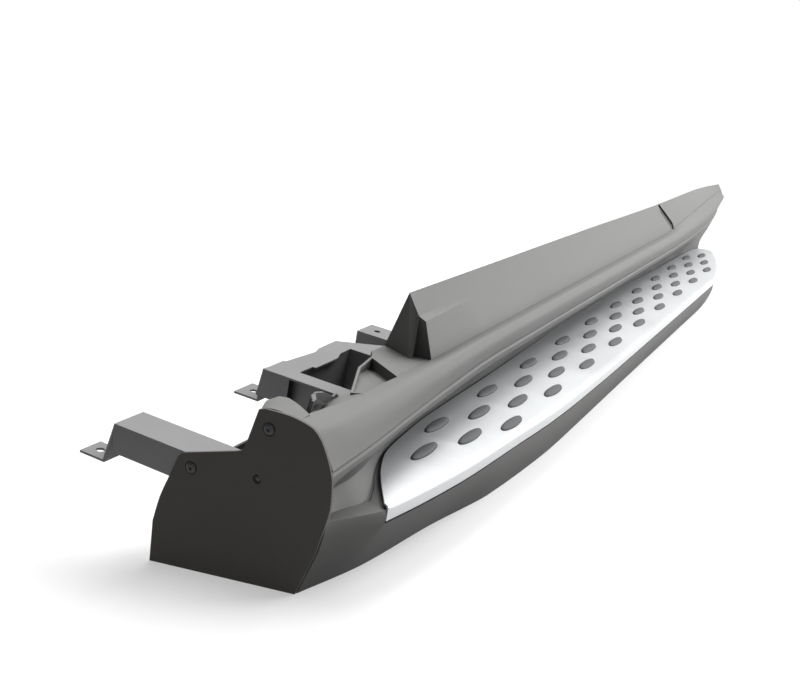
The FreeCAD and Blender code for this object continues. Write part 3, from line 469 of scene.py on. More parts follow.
def stations(start: float, stop: float) -> list[float]:
    """List the places at which a moulded surface is shaped.

    Args:
        start: First place along the board.
        stop: Last place.

    Returns:
        Places from the first to the last, close together where the lines curve.
    """
    places = [start] + ([7.0, 12.0] if start < 6.0 else [])
    x = max(20.0, start + NEAR_STEP)
    while x < stop - 4.0:
        places.append(x)
        x += NEAR_STEP if x < NEAR_CURVES else MIDDLE_STEP if x < far(FAR_CURVES) else FAR_STEP
    places.append(stop)
    return places


def rounded(points: Path, steps: int = 4) -> Path:
    """Draw a smooth curve through a few points.

    Args:
        points: The points that it passes.
        steps: Short runs between two of them.

    Returns:
        The points of the curve.
    """
    result = [points[0]]
    last = len(points) - 1
    for i in range(last):
        before, here = points[max(i - 1, 0)], points[i]
        there, after = points[i + 1], points[min(i + 2, last)]
        for k in range(1, steps + 1):
            t = k / steps
            place = []
            for a, b, c, d in zip(before, here, there, after):
                curve = 2.0 * a - 5.0 * b + 4.0 * c - d
                twist = 3.0 * b - a - 3.0 * c + d
                place.append(0.5 * (2.0 * b + (c - a) * t + (curve * t * t + twist * t ** 3)))
            result.append((place[0], place[1]))
    return result


def offset(points: Path, distance: float) -> Path:
    """Move a path to its right by a distance, mitred at its corners.

    Args:
        points: The path.
        distance: How far it moves.

    Returns:
        The moved path.
    """
    result = []
    last = len(points) - 1
    for i, (u, v) in enumerate(points):
        normals = []
        for a, b in ((i - 1, i), (i, i + 1)):
            if a < 0 or b > last:
                continue
            du = points[b][0] - points[a][0]
            dv = points[b][1] - points[a][1]
            size = math.hypot(du, dv)
            normals.append((dv / size, -du / size))
        nu = sum(n[0] for n in normals) / len(normals)
        nv = sum(n[1] for n in normals) / len(normals)
        square = nu * nu + nv * nv
        result.append((u + nu * distance / square, v + nv * distance / square))
    return result


def oval(middle: Pair, reach: Pair, sides: int = 32) -> Path:
    """Draw an oval outline round its middle."""
    turns = [2.0 * math.pi * k / sides for k in range(sides)]
    return [(middle[0] + reach[0] * math.cos(t), middle[1] + reach[1] * math.sin(t)) for t in turns]


def span(shape: Form, here: list[bmesh.types.BMVert], there: list[bmesh.types.BMVert]) -> None:
    """Span faces between two rings of corners.

    Args:
        shape: Mesh under edit.
        here: Corners of one ring.
        there: Corners of the other.
    """
    for k, corner in enumerate(here):
        after = (k + 1) % len(here)
        shape.faces.new((corner, here[after], there[after], there[k]))


def loft(sections: list[list[Triple]]) -> Form:
    """Span a closed form through sections of the tread's frame.

    Args:
        sections: Closed outlines with the same number of corners.

    Returns:
        The form, in the row's frame.
    """
    shape = bmesh.new()
    loops = [[shape.verts.new(TREAD.at(*corner)) for corner in section] for section in sections]
    for here, there in zip(loops, loops[1:]):
        span(shape, here, there)
    shape.faces.new(loops[0][::-1])
    shape.faces.new(loops[-1])
    bmesh.ops.recalc_face_normals(shape, faces=shape.faces)
    return shape


def sheet(places: list[float], path: Callable[[float], Path], wall: float) -> Form:
    """Span a wall of even thickness that follows a path along the board.

    Args:
        places: Places along the board.
        path: Gives the path, as (u, v) points, at a place.
        wall: Thickness of the wall.

    Returns:
        The form.
    """
    sections = []
    for x in places:
        points = path(x)
        sections.append([(x, u, v) for u, v in points + offset(points, wall)[::-1]])
    return loft(sections)


def prism(points: Path, low: float, high: float, axis: Axis = Axis.UP) -> Form:
    """Draw an outline out between two values of an axis.

    Args:
        points: The outline: (x, u), (u, v) or (x, v) for up, along or across.
        low: One end.
        high: The other end.
        axis: The axis.

    Returns:
        The form.
    """
    ends = []
    for at in (low, high):
        if axis is Axis.UP:
            ends.append([(a, b, at) for a, b in points])
        elif axis is Axis.ALONG:
            ends.append([(at, a, b) for a, b in points])
        else:
            ends.append([(a, at, b) for a, b in points])
    return loft(ends)


def block(x: Pair, u: Pair, v: Pair) -> Form:
    """Make a plain block between two values on each axis."""
    return prism([(x[0], u[0]), (x[1], u[0]), (x[1], u[1]), (x[0], u[1])], v[0], v[1])


def wedge(corners: list[Triple]) -> Form:
    """Make the closed form that wraps a few points of the tread's frame.

    Args:
        corners: The points.

    Returns:
        The form.
    """
    shape = bmesh.new()
    verts = [shape.verts.new(TREAD.at(*corner)) for corner in corners]
    bmesh.ops.convex_hull(shape, input=verts)
    bmesh.ops.recalc_face_normals(shape, faces=shape.faces)
    return shape


def worked(shapes: list[Form], work: Work) -> Form:
    """Join forms into one, or cut the first by the rest.

    Args:
        shapes: The forms, which are used up.
        work: What is done.

    Returns:
        The finished form.
    """
    blanks = []
    for shape in shapes:
        mesh = bpy.data.meshes.new("blank")
        shape.to_mesh(mesh)
        shape.free()
        blank = bpy.data.objects.new("blank", mesh)
        bpy.context.scene.collection.objects.link(blank)
        blanks.append(blank)
    for tool in blanks[1:]:
        step = blanks[0].modifiers.new("step", "BOOLEAN")
        step.object = tool
        step.operation = work.value
        step.solver = "MANIFOLD"
    result = bmesh.new()
    result.from_object(blanks[0], bpy.context.evaluated_depsgraph_get())
    for blank in blanks:
        mesh = blank.data
        bpy.data.objects.remove(blank)
        bpy.data.meshes.remove(mesh)
    return result


def form_of(node: str) -> Form:
    """Copy the form of a node of the frame into a clean mesh under edit.

    Args:
        node: Name of the node.

    Returns:
        The mesh under edit, its doubled corners merged.
    """
    shape = bmesh.new()
    shape.from_mesh(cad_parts[node].data)
    bmesh.ops.remove_doubles(shape, verts=shape.verts, dist=0.00001)
    bmesh.ops.dissolve_degenerate(shape, edges=shape.edges, dist=0.000005)
    return shape


def piece_from(shape: Form, name: str, crisp: float = CRISP_ANGLE) -> Piece:
    """Turn a mesh under edit into a smooth-shaded piece in the scene.

    Args:
        shape: The mesh under edit, which is freed.
        name: Name of the new piece.
        crisp: Edges sharper than this stay crisp, degrees.

    Returns:
        The new piece.
    """
    mesh = bpy.data.meshes.new(name)
    shape.to_mesh(mesh)
    shape.free()
    for polygon in mesh.polygons:
        polygon.use_smooth = True
    mesh.set_sharp_from_angle(angle=math.radians(crisp))
    piece = bpy.data.objects.new(name, mesh)
    bpy.context.scene.collection.objects.link(piece)
    return piece


def edged(shape: Form, name: str, radius: float) -> Piece:
    """Turn a mesh under edit into a piece with whole flat faces and rounded edges.

    Args:
        shape: The mesh under edit, which is freed.
        name: Name of the new piece.
        radius: Radius of the rounded edges, metres.

    Returns:
        The new piece.
    """
    bmesh.ops.dissolve_limit(
        shape, angle_limit=math.radians(FLAT_ANGLE), verts=shape.verts, edges=shape.edges,
        delimit={"NORMAL"},
    )
    piece = piece_from(shape, name)
    bevel = piece.modifiers.new("rounded_edges", "BEVEL")
    bevel.width = radius
    bevel.segments = 2
    bevel.limit_method = "ANGLE"
    bevel.angle_limit = math.radians(ROUNDED_ANGLE)
    even = piece.modifiers.new("even_shading", "WEIGHTED_NORMAL")
    even.keep_sharp = True
    return piece


def seat(piece: Piece, finish: Finish, *nodes: str) -> None:
    """Dress a piece, let it ride on the board and stand for its nodes.

    Args:
        piece: The piece.
        finish: Its finish, whose material it is given.
        *nodes: Nodes of the frame that it stands for.
    """
    piece.data.materials.clear()
    piece.data.materials.append(finish.material())
    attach(piece, "root")
    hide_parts(*nodes)
    log.info("%s: %d faces", piece.name, len(piece.data.polygons))


def take_over(node: str, name: str, finish: Finish) -> None:
    """Seat a node's own form as a piece."""
    seat(piece_from(form_of(node), name), finish, node)


@dataclass
class MouldedBody:
    """The one-piece plastic body, the insert of its slot and the cover below it.

    Every size is in millimetres in the tread's frame; a Line runs along the board.

    Attributes:
        wall: Wall of the moulding.
        ledge: Level of the ledge under the mat.
        pocket_start: Where the plate's pocket begins.
        pocket_depth: Depth of the pocket's outboard lip.
        land: Level of the flat land beside the ridge's near end.
        facet_lead: How far the foot of the ridge's end leans out.
        bulge_low: Level and outward swell of the ridge's near edge, low.
        bulge_high: Level and outward swell of the same edge at its step.
        slot_at: Middle of the slot along the board.
        slot_size: Width and length of the slot.
        slot_tilt: Degrees that the slot leans along the board.
        feet: Places of the feet that stand on the rail.
    """

    wall: float = 3.0
    ledge: float = -5.0
    pocket_start: float = 66.0
    pocket_depth: float = 20.0
    land: float = 71.0
    facet_lead: float = 17.0
    bulge_low: Pair = (112.0, 9.7)
    bulge_high: Pair = (116.0, 2.5)
    slot_at: float = far(332.0)
    slot_size: Pair = (25.0, 74.0)
    slot_tilt: float = 39.0
    feet: tuple[float, ...] = (466.0, 700.0, 980.0, far(560.0), far(170.0))
    skirt_foot: Line = Line((
        (0.0, -1.0), (85.0, -27.0), (193.0, -44.0), (325.0, -70.0), (529.0, -81.0),
        (982.0, -80.0), (far(400.0), -80.0), (far(99.0), -62.0), (far(0.0), -32.0),
    ))
    skirt_mid: Line = Line((
        (0.0, -15.0), (60.0, -39.0), (85.0, -44.0), (193.0, -61.0), (325.0, -76.0), (529.0, -86.5),
        (982.0, -87.0), (far(348.0), -87.0), (far(113.0), -59.0), (far(0.0), -28.0),
    ))
    plate_outer: Line = PLATE_OUTER
    ledge_edge: Line = Line((
        (0.0, -18.6), (6.0, -20.5), (35.0, -35.0), (58.0, -46.0), (66.0, -48.6),
    ))
    ledge_low: Line = Line(((0.0, -17.2), (35.0, -34.0), (66.0, -48.0)))
    swell_low: Line = Line(((0.0, 0.4), (8.0, 0.8), (40.0, 3.0), (130.0, 4.2)))
    swell_high: Line = Line(((0.0, -2.6), (8.0, -2.0), (40.0, 1.0), (130.0, 2.2)))
    scoop_root: Line = Line((
        (0.0, -19.0), (7.0, -19.5), (12.0, -14.5), (32.0, -19.0), (61.0, -30.0), (92.0, -21.5),
        (119.0, -8.5), (145.0, 3.0), (176.0, 12.0), (226.0, 18.5), (300.0, 23.5), (476.0, 25.5),
        (918.0, 33.5), (far(664.0), 31.5), (far(432.0), 25.5), (far(206.0), 20.0),
        (PLATE_END, 9.0), (TIP_LENGTH, 9.0),
    ))
    scoop_depth: Line = Line((
        (0.0, -1.5), (7.0, -1.5), (14.0, 8.0), (60.0, 16.0), (110.0, 12.0), (150.0, 8.5),
        (300.0, 5.5), (TIP_LENGTH, 3.5),
    ))
    bead_drop: Line = Line((
        (0.0, 11.0), (60.0, 7.5), (150.0, 7.0), (300.0, 9.0), (far(0.0), 8.0), (TIP_LENGTH, 6.0),
    ))
    style_u: Line = Line((
        (0.0, -17.5), (80.0, -15.0), (180.0, -9.0), (300.0, -3.0), (452.0, 2.0),
        (far(0.0), 2.0), (TIP_LENGTH, 10.0),
    ))
    style_v: Line = Line((
        (0.0, 42.0), (452.0, 46.0), (far(400.0), 46.0), (far(0.0), 60.0), (TIP_LENGTH, 92.0),
    ))
    crest_u: Line = Line((
        (0.0, 10.0), (282.0, 9.0), (far(400.0), 9.0), (far(0.0), 6.0), (TIP_LENGTH, 13.0),
    ))
    crest_v: Line = Line((
        (0.0, 78.6), (120.0, 75.2), (282.0, 74.5), (far(420.0), 74.5), (far(150.0), 82.0),
        (far(0.0), 92.0), (TIP_LENGTH, 114.0),
    ))
    crease_u: Line = Line((
        (0.0, 27.0), (120.0, 22.5), (282.0, 21.5), (far(420.0), 24.0), (far(0.0), 22.0),
        (TIP_LENGTH, 19.0),
    ))
    crease_v: Line = Line((
        (0.0, 81.0), (120.0, 73.5), (282.0, 72.0), (far(420.0), 72.0),
        (far(150.0), 91.0), (far(0.0), 106.0), (TIP_LENGTH, 124.0),
    ))
    top_u: Line = Line((
        (RIDGE_START, 61.5), (far(300.0), 62.0), (far(0.0), 58.0), (TIP_LENGTH - 90.0, 48.0),
        (TIP_LENGTH, 29.0),
    ))
    top_v: Line = Line((
        (RIDGE_START, 138.5), (945.0, 132.0), (far(300.0), 124.5), (far(0.0), 127.5),
        (TIP_LENGTH, 136.0),
    ))
    base_u: Line = Line(((RIDGE_START, 80.0), (far(60.0), 78.0), (TIP_LENGTH, 38.0)))
    base_v: Line = Line(((RIDGE_START, 71.0), (far(60.0), 71.0), (TIP_LENGTH, 117.0)))
    inboard_u: Line = Line(((RIDGE_START, 86.0), (far(60.0), 84.0), (TIP_LENGTH, 40.0)))
    inboard_v: Line = Line(((RIDGE_START, 12.0), (far(60.0), 12.0), (TIP_LENGTH, 106.0)))
    bulge_fade: Line = Line((
        (RIDGE_START, 1.0), (RIDGE_START + 120.0, 0.45), (RIDGE_START + 330.0, 0.12),
        (far(300.0), 0.05),
    ))

    def skirt(self, x: float) -> Path:
        """Trace the skirt, the plate's pocket and the ledge at a place.

        Args:
            x: Place along the board.

        Returns:
            The path, from the floor up.
        """
        foot = self.skirt_foot.at(x)
        edge = self.plate_outer.at(x)
        path = [(foot, floor_level(foot)), (self.skirt_mid.at(x), SKIRT_BREAK)]
        path += [(edge + 0.8, -self.pocket_depth), (edge + 4.0, -self.pocket_depth + 0.4)]
        return path + [(edge + 4.0, self.ledge), (self.scoop_root.at(x) + 1.5, self.ledge)]

    def near_skirt(self, x: float) -> Path:
        """Trace the skirt and ledge between the near cap and the pocket.

        Args:
            x: Place along the board.

        Returns:
            The path, from the floor up.
        """
        foot = self.skirt_foot.at(x)
        edge = self.ledge_edge.at(x)
        path = [(foot, floor_level(foot)), (self.skirt_mid.at(x), SKIRT_BREAK)]
        path += [(self.ledge_low.at(x), -self.pocket_depth), (edge, self.ledge - 4.0)]
        return path + [(edge + 1.5, self.ledge), (self.scoop_root.at(x) + 5.0, self.ledge + 1.0)]

    def roll(self, x: float) -> Path:
        """Trace the undercut scoop, the bead, the groove and the crown above the ledge.

        Args:
            x: Place along the board.

        Returns:
            The path, from the scoop's root to the crease.
        """
        root = self.scoop_root.at(x)
        su, sv = self.style_u.at(x), self.style_v.at(x)
        cu, cv = self.crest_u.at(x), self.crest_v.at(x)
        bu, bv = su - 0.6, sv - self.bead_drop.at(x)
        hollow = 0.5 * (root + bu) + self.scoop_depth.at(x)
        undercut = [
            (root, self.ledge - self.wall), (hollow, self.ledge + 0.45 * (bv - self.ledge)),
            (bu + 1.2, bv - 2.5),
        ]
        band = [(bu, bv), (su - 0.8, sv - 2.6), (su + 1.0, sv)]
        crown = [
            (su - 0.1, sv + 2.8),
            (su + 0.42 * (cu - su) - self.swell_low.at(x), sv + 0.62 * (cv - sv)),
            (su + 0.62 * (cu - su) - self.swell_high.at(x), sv + 0.90 * (cv - sv)),
            (cu, cv), (self.crease_u.at(x), self.crease_v.at(x)),
        ]
        return rounded(undercut) + band + rounded(crown)

    def ridge(self, x: float) -> Path:
        """Trace the sill ridge from the crease over its top and down the inboard wall.

        Args:
            x: Place along the board.

        Returns:
            The path, from the crease to the inboard foot.
        """
        eu, ev = self.crease_u.at(x), self.crease_v.at(x)
        tu, tv = self.top_u.at(x), self.top_v.at(x)
        fade = self.bulge_fade.at(x)
        low, high = self.crease_v.at(RIDGE_START), self.top_v.at(RIDGE_START)
        path = [(eu - 1.0, ev - 2.2)]
        for level, outward in (self.bulge_low, self.bulge_high):
            share = (level - low) / (high - low)
            path.append((eu + share * (tu - eu) - fade * outward, ev + share * (tv - ev)))
        path += [(tu, tv), (self.base_u.at(x), self.base_v.at(x))]
        return path + [(self.inboard_u.at(x), self.inboard_v.at(x))]

    def flange(self) -> Form:
        """Make the inturned flange along the foot of the skirt.

        Returns:
            The form.
        """
        sections = []
        for x in stations(BODY_START, far(BODY_START)):
            foot = self.skirt_foot.at(x) + 1.0
            edge = foot + 24.0
            low = [(x, foot, floor_level(foot) + 4.0), (x, edge, floor_level(edge) + 4.0)]
            sections.append(low + [(x, u, v + self.wall) for _, u, v in low[::-1]])
        return loft(sections)

    def lip(self, x: float) -> Path:
        """Trace the rounded lip over the near end, wider behind the cap than at it.

        Args:
            x: Place along the board.

        Returns:
            The path, from the crown to the inboard side.
        """
        flare = 8.0 * min(1.0, (x - BODY_START) / 20.0)
        return rounded([
            (23.0, 80.2), (34.0, 81.6), (46.0, 82.0), (56.0 + 0.5 * flare, 80.8),
            (62.0 + flare, 77.8), (64.0 + flare, 72.0), (66.0 + flare, 61.0),
        ], 2)

    def hump(self) -> Form:
        """Make the lip behind the near cap with the boss of the cap's screw.

        Returns:
            The form.
        """
        shape = sheet([BODY_START, 13.0, 23.0, 30.0, 37.0], self.lip, self.wall)
        outboard = [(37.5, 57.0), (20.0, 21.0), (50.0, 21.0), (50.0, 57.0)]
        inboard = [(37.5, 66.0), (20.0, 72.5), (20.0, 80.0), (50.0, 80.0), (50.0, 66.0)]
        trims = [prism(outline, 50.0, 90.0) for outline in (outboard, inboard)]
        boss = block((BODY_START, 14.0), (43.0, 57.0), (55.0, 79.0))
        return worked([worked([shape] + trims, Work.CUT), boss], Work.JOIN)

    def plateau(self) -> list[Form]:
        """Make the flat land, the shallow tray before it and the wall below it.

        Returns:
            The forms.
        """
        end = RIDGE_START + 4.0
        flat = prism([(204.0, 22.0), (235.0, 72.0), (252.0, 80.0), (end, 80.0), (end, 21.0)],
                     self.land - self.wall, self.land)
        side = [(77.0, self.land), (80.0, self.land), (86.0, 12.0), (83.0, 12.0)]
        wall = prism(side, 250.0, end, Axis.ALONG)
        low, high = self.land - 12.0, self.land - 1.0
        rim = [(231.0, 68.9), (192.5, 62.3), (124.0, 33.6), (131.0, 27.5), (201.5, 23.5)]
        depths = [low, 0.5 * (low + high), high, high, low + 1.0]
        around = [
            (235.0, 72.0), (191.5, 65.0), (120.5, 35.0), (128.0, 24.5), (204.0, 20.5),
            (207.0, 22.0),
        ]
        box = prism(around, self.land - 16.0, self.land)
        hollow = [(x, u, v) for (x, u), v in zip(rim, depths)]
        hollow += [(x, u, self.land + 8.0) for x, u in rim]
        return [flat, wall, worked([box, wedge(hollow)], Work.CUT)]

    def clip(self) -> list[Form]:
        """Make the small clip beside the free edge: a flange, two ribs and a bridge.

        Returns:
            The forms.
        """
        flange = [(20.0, 74.2), (48.5, 63.0), (48.5, 60.0), (20.0, 71.2)]
        front = [(45.0, 61.0), (53.0, 79.2), (58.0, 80.0), (88.0, 65.0), (88.0, 61.0)]
        window = prism([(50.5, 67.5), (56.5, 76.2), (78.0, 66.5)], 30.0, 44.0, Axis.ACROSS)
        rear = [
            (60.0, 60.0), (66.0, 78.0), (72.0, 80.4), (86.0, 77.0), (108.0, 66.5), (114.0, 68.0),
            (121.0, 61.0), (121.0, 60.0),
        ]
        return [
            prism(flange, 44.0, 122.0, Axis.ALONG),
            worked([prism(front, 38.0, 40.5, Axis.ACROSS), window], Work.CUT),
            prism(rear, 46.0, 48.5, Axis.ACROSS),
            prism([(52.0, 38.0), (58.0, 38.0), (74.0, 48.5), (66.0, 48.5)], 76.5, 79.0),
        ]

    def ridge_end(self) -> list[Form]:
        """Make the wall that closes the ridge's near end, with its leaning facet and rib.

        Returns:
            The forms.
        """
        path = self.ridge(RIDGE_START)
        foot = self.land - 1.0
        lead = RIDGE_START - self.facet_lead
        x = RIDGE_START
        peak = (x, path[3][0], path[3][1] - 0.5)
        step = (x, path[2][0] + 1.0, path[2][1])
        heel = (x, path[4][0] - 0.5, foot)
        toe = (lead, 41.3, foot)
        rib = (x, step[1] - 2.4, step[2] - 1.0)
        inner = [(x + 1.0, step[1], step[2]), (x + 1.0, 41.3, foot)]
        outline = path[:5] + [(path[0][0] + 4.0, self.land - self.wall)]
        return [
            prism(outline, x, x + self.wall, Axis.ALONG),
            wedge([peak, step, toe, heel]),
            wedge([step, rib, toe, (lead + 0.6, 39.2, foot)] + inner),
        ]

    def tip(self) -> Form:
        """Make the wall that closes the ridge's tip.

        Returns:
            The form.
        """
        low = self.roll(TIP_LENGTH)
        outline = [low[-5], low[-1]] + self.ridge(TIP_LENGTH)[3:]
        return prism(outline, TIP_LENGTH - self.wall, TIP_LENGTH, Axis.ALONG)

    def foot(self, x: float) -> list[Form]:
        """Make one foot of the inboard wall.

        Args:
            x: Middle of the foot along the board.

        Returns:
            The forms.
        """
        return [
            block((x - 13.0, x + 13.0), (81.0, 84.5), (DECK, 18.0)),
            block((x - 13.0, x + 13.0), (66.0, 84.5), (DECK, DECK + self.wall)),
        ]

    def slot_bar(self, width: float, length: float, low: float, high: float) -> Form:
        """Make a rounded bar along the slot between two depths below the ridge's face.

        Args:
            width: Width of the bar.
            length: Length of the bar.
            low: Depth of its upper side.
            high: Depth of its lower side.

        Returns:
            The bar in its place.
        """
        face = self.ridge(self.slot_at)
        middle = (0.5 * (face[0][0] + face[3][0]), 0.5 * (face[0][1] + face[3][1]))
        lift = math.atan2(face[3][1] - face[0][1], face[3][0] - face[0][0])
        tilt = math.radians(self.slot_tilt)
        radius = 0.5 * width
        half = 0.5 * length - radius
        sides = 32
        outline = []
        for k in range(sides):
            turn = 2.0 * math.pi * (k + 0.5) / sides
            shift = half if k < sides // 2 else -half
            outline.append((radius * math.cos(turn), radius * math.sin(turn) + shift))
        ends = []
        for depth in (high, low):
            loop = []
            for a, b in outline:
                x = a * math.cos(tilt) - b * math.sin(tilt)
                up = a * math.sin(tilt) + b * math.cos(tilt)
                u = up * math.cos(lift) + depth * math.sin(lift)
                v = up * math.sin(lift) - depth * math.cos(lift)
                loop.append((self.slot_at + x, middle[0] + u, middle[1] + v))
            ends.append(loop)
        return loft(ends)

    def build(self) -> None:
        """Make the body, the insert and the cover."""
        end = far(BODY_START)
        solids = [
            sheet(stations(self.pocket_start, end), self.skirt, self.wall),
            sheet(stations(BODY_START, self.pocket_start), self.near_skirt, self.wall + 0.5),
            sheet(stations(BODY_START, TIP_LENGTH), self.roll, self.wall),
            sheet(stations(RIDGE_START, TIP_LENGTH), self.ridge, self.wall),
            self.flange(), self.hump(), self.tip(),
        ]
        solids += self.plateau() + self.clip() + self.ridge_end()
        for x in self.feet:
            solids += self.foot(x)
        below = [(end, -200.0), (end, 14.0), (far(-6.0), 20.0), (TIP_LENGTH + 1.0, 107.5),
                 (TIP_LENGTH + 60.0, 107.5), (TIP_LENGTH + 60.0, -200.0)]
        width, length = self.slot_size
        cuts = [prism(below, -60.0, 140.0, Axis.ACROSS), self.slot_bar(width, length, -9.0, 9.0)]
        shape = worked([worked(solids, Work.JOIN)] + cuts, Work.CUT)
        seat(piece_from(shape, "body_shell", 26.0), BODY_PLASTIC, "body_moulding")
        floor = self.slot_bar(width - 0.6, length - 0.6, 4.5, 6.5)
        rib = self.slot_bar(0.34 * width, length - 8.0, 1.6, 5.5)
        strip = worked([floor, rib], Work.JOIN)
        seat(piece_from(strip, "slot_strip"), INSERT_RUBBER, "slot_insert")
        take_over("under_cover", "under_tray", COVER_PLASTIC)
        take_over("cover_rivets", "push_rivets", RIVET_PLASTIC)


@dataclass
class EndCaps:
    """The two end caps with their screws and the locating pin.

    Attributes:
        edge_radius: Radius of the caps' rounded edges, metres.
        thickness: Thickness of the near cap, millimetres.
        outboard: Outline of the near cap from the floor up over its crest.
        inboard: Outline from the bracket's seat down to the floor.
        screws: Screw places of the near cap.
        pin: Place of the locating pin.
        pin_depth: How deep the pin is sunk.
    """

    edge_radius: float = 0.0006
    thickness: float = 3.0
    outboard: tuple[Pair, ...] = (
        (-15.0, -36.0), (-19.6, -8.0), (-22.0, 11.0), (-19.8, 34.0), (-16.4, 46.0), (-7.2, 64.0),
        (2.0, 75.2), (12.3, 80.0), (32.0, 82.2), (56.0, 80.6),
    )
    inboard: tuple[Pair, ...] = ((142.0, 4.6), (150.6, -22.0), (158.0, -45.0), (163.0, -72.0))
    screws: tuple[Pair, ...] = ((50.0, 63.0), (126.5, -2.6))
    pin: Pair = (55.0, 12.0)
    pin_depth: float = 2.2

    def rod(self, at: Pair, x: Pair, radius: float) -> Form:
        """Make a round prism along the board."""
        return prism(oval(at, (radius, radius)), x[0], x[1], Axis.ALONG)

    def near_cap(self) -> Form:
        """Make the near cap with its sunk screw seats.

        Returns:
            The form of the cap.
        """
        outline = [(-1.0, floor_level(-1.0))] + rounded(list(self.outboard))
        outline += [(63.0, 78.0), (71.7, 39.5), (74.5, 34.0), (80.0, 31.0), (137.0, 9.4)]
        outline += rounded(list(self.inboard)) + [(161.5, floor_level(161.5))]
        solids = [prism(outline, 0.0, self.thickness, Axis.ALONG)]
        solids += [self.rod(at, (-1.0, 1.5), 6.6) for at in self.screws]
        solids.append(self.rod(self.pin, (-1.0, self.pin_depth), 4.6))
        return worked(solids, Work.CUT)

    def build(self) -> None:
        """Make the caps and their fasteners."""
        for node in ("near_end_cap", "far_end_cap"):
            shape = self.near_cap() if node == "near_end_cap" else form_of(node)
            seat(edged(shape, node.replace("_end", ""), self.edge_radius), CAP_PLASTIC, node)
        take_over("cap_screws", "cap_screw_set", SCREW_BLACK)
        pin = form_of("cap_pin")
        for vert in pin.verts:
            vert.co.x += 0.001 * self.pin_depth
        seat(piece_from(pin, "cap_locating_pin"), SCREW_BLACK, "cap_pin")


@dataclass
class Tread:
    """The aluminium plate over its rubber mat, with the domed oval grips.

    Attributes:
        rows: Rows of grips, as (u, first x, count), millimetres.
        pitch: Distance between grips of a row.
        length: Length of a grip.
        width: Width of a grip.
        rise: Height of a grip's crown over the plate.
        root: Level at which a grip leaves the mat.
        shoulder: Level at which its side turns into the crown.
        fullness: How full the crown is: 1 for an oval one, less for a fuller one.
        taper: How much faster the crown draws in along the board than across it.
        rings: Rings of each dome.
        sides: Corners of each ring.
        gap: Gap between a grip and the plate round it.
        plate_ends: Where the plate begins and ends along the board.
        roll_radius: Outer radius of the plate's rolled edge.
        sheet_thickness: Thickness of the plate.
        fascia: Depth of the plate's outboard face.
    """

    rows: tuple[tuple[float, float, int], ...] = (
        (0.0, 282.0, 10), (-20.6, 204.5, 11), (-41.2, 282.0, 10), (-61.8, 359.5, 9),
    )
    pitch: float = 155.0
    length: float = 59.0
    width: float = 14.0
    rise: float = 3.0
    root: float = -1.2
    shoulder: float = 0.2
    fullness: float = 0.8
    taper: float = 1.6
    rings: int = 6
    sides: int = 40
    gap: float = 0.5
    plate_ends: Pair = (67.0, PLATE_END)
    roll_radius: float = 7.0
    sheet_thickness: float = 2.0
    fascia: float = 17.0

    def dome(self, shape: Form, x: float, u: float) -> None:
        """Add one oval grip with a rounded crown.

        Args:
            shape: Mesh under edit.
            x: Middle of the grip along the board.
            u: Middle of the grip across it.
        """
        profile = [(1.0, self.root), (1.0, self.shoulder)]
        for ring in range(1, self.rings):
            angle = 0.5 * math.pi * ring / self.rings
            level = self.shoulder + (self.rise - self.shoulder) * math.sin(angle)
            profile.append((math.cos(angle) ** self.fullness, level))
        loops = []
        for share, v in profile:
            inset = (1.0 - share) * 0.5 * self.width
            reach = (0.5 * self.length - inset * self.taper, 0.5 * self.width - inset)
            outline = oval((x, u), reach, self.sides)
            loops.append([shape.verts.new(TREAD.at(a, b, v)) for a, b in outline])
        top = shape.verts.new(TREAD.at(x, u, self.rise))
        for low, high in zip(loops, loops[1:]):
            span(shape, low, high)
        for corner, after in zip(loops[-1], loops[-1][1:] + loops[-1][:1]):
            shape.faces.new((corner, after, top))

    def grips(self) -> list[Pair]:
        """List the middles of the grips."""
        return [(first + k * self.pitch, u) for u, first, count in self.rows for k in range(count)]

    def mat(self) -> None:
        """Make the mat: its sheet from the frame, its grips as rounded domes."""
        shape = form_of("tread_mat")
        for vert in shape.verts:
            x, u, v = TREAD.back(vert.co)
            if v > self.root:
                vert.co = TREAD.at(x, u, self.root)
        for x, u in self.grips():
            self.dome(shape, x, u)
        seat(piece_from(shape, "grip_mat", 50.0), MAT_RUBBER, "tread_mat")

    def plate_section(self, x: float) -> list[Triple]:
        """Trace the plate at a place: flat top, rolled edge and fascia.

        Args:
            x: Place along the board.

        Returns:
            The closed outline.
        """
        edge = PLATE_OUTER.at(x)
        bend = min(self.roll_radius, PLATE_INNER.at(x) - edge - 0.6)
        corner = edge + bend
        outer = [(PLATE_INNER.at(x), 0.0)]
        inner = [(PLATE_INNER.at(x), -self.sheet_thickness)]
        for k in range(7):
            turn = 0.5 * math.pi * k / 6
            for loop, radius in ((outer, bend), (inner, max(bend - self.sheet_thickness, 0.3))):
                loop.append((corner - radius * math.sin(turn), -bend + radius * math.cos(turn)))
        outer.append((edge, -self.fascia))
        inner.append((edge + self.sheet_thickness, -self.fascia))
        return [(x, u, v) for u, v in outer + inner[::-1]]

    def plate(self) -> None:
        """Make the plate with its rolled edge and an oval hole round each grip."""
        places = stations(self.plate_ends[0], self.plate_ends[1] - 24.0)
        places += [self.plate_ends[1] - back for back in (16.0, 10.0, 6.0, 3.0, 0.0)]
        solids = [loft([self.plate_section(x) for x in places])]
        reach = (0.5 * self.length + self.gap, 0.5 * self.width + self.gap)
        solids += [prism(oval(middle, reach, self.sides), -9.0, 5.0) for middle in self.grips()]
        seat(piece_from(worked(solids, Work.CUT), "tread_cover"), PLATE_ALUMINIUM, "tread_plate")

    def build(self) -> None:
        """Make the plate, the mat and the studs and nuts below."""
        self.plate()
        self.mat()
        take_over("plate_studs", "weld_studs", ZINC)
        take_over("plate_nuts", "stud_nuts", ZINC)


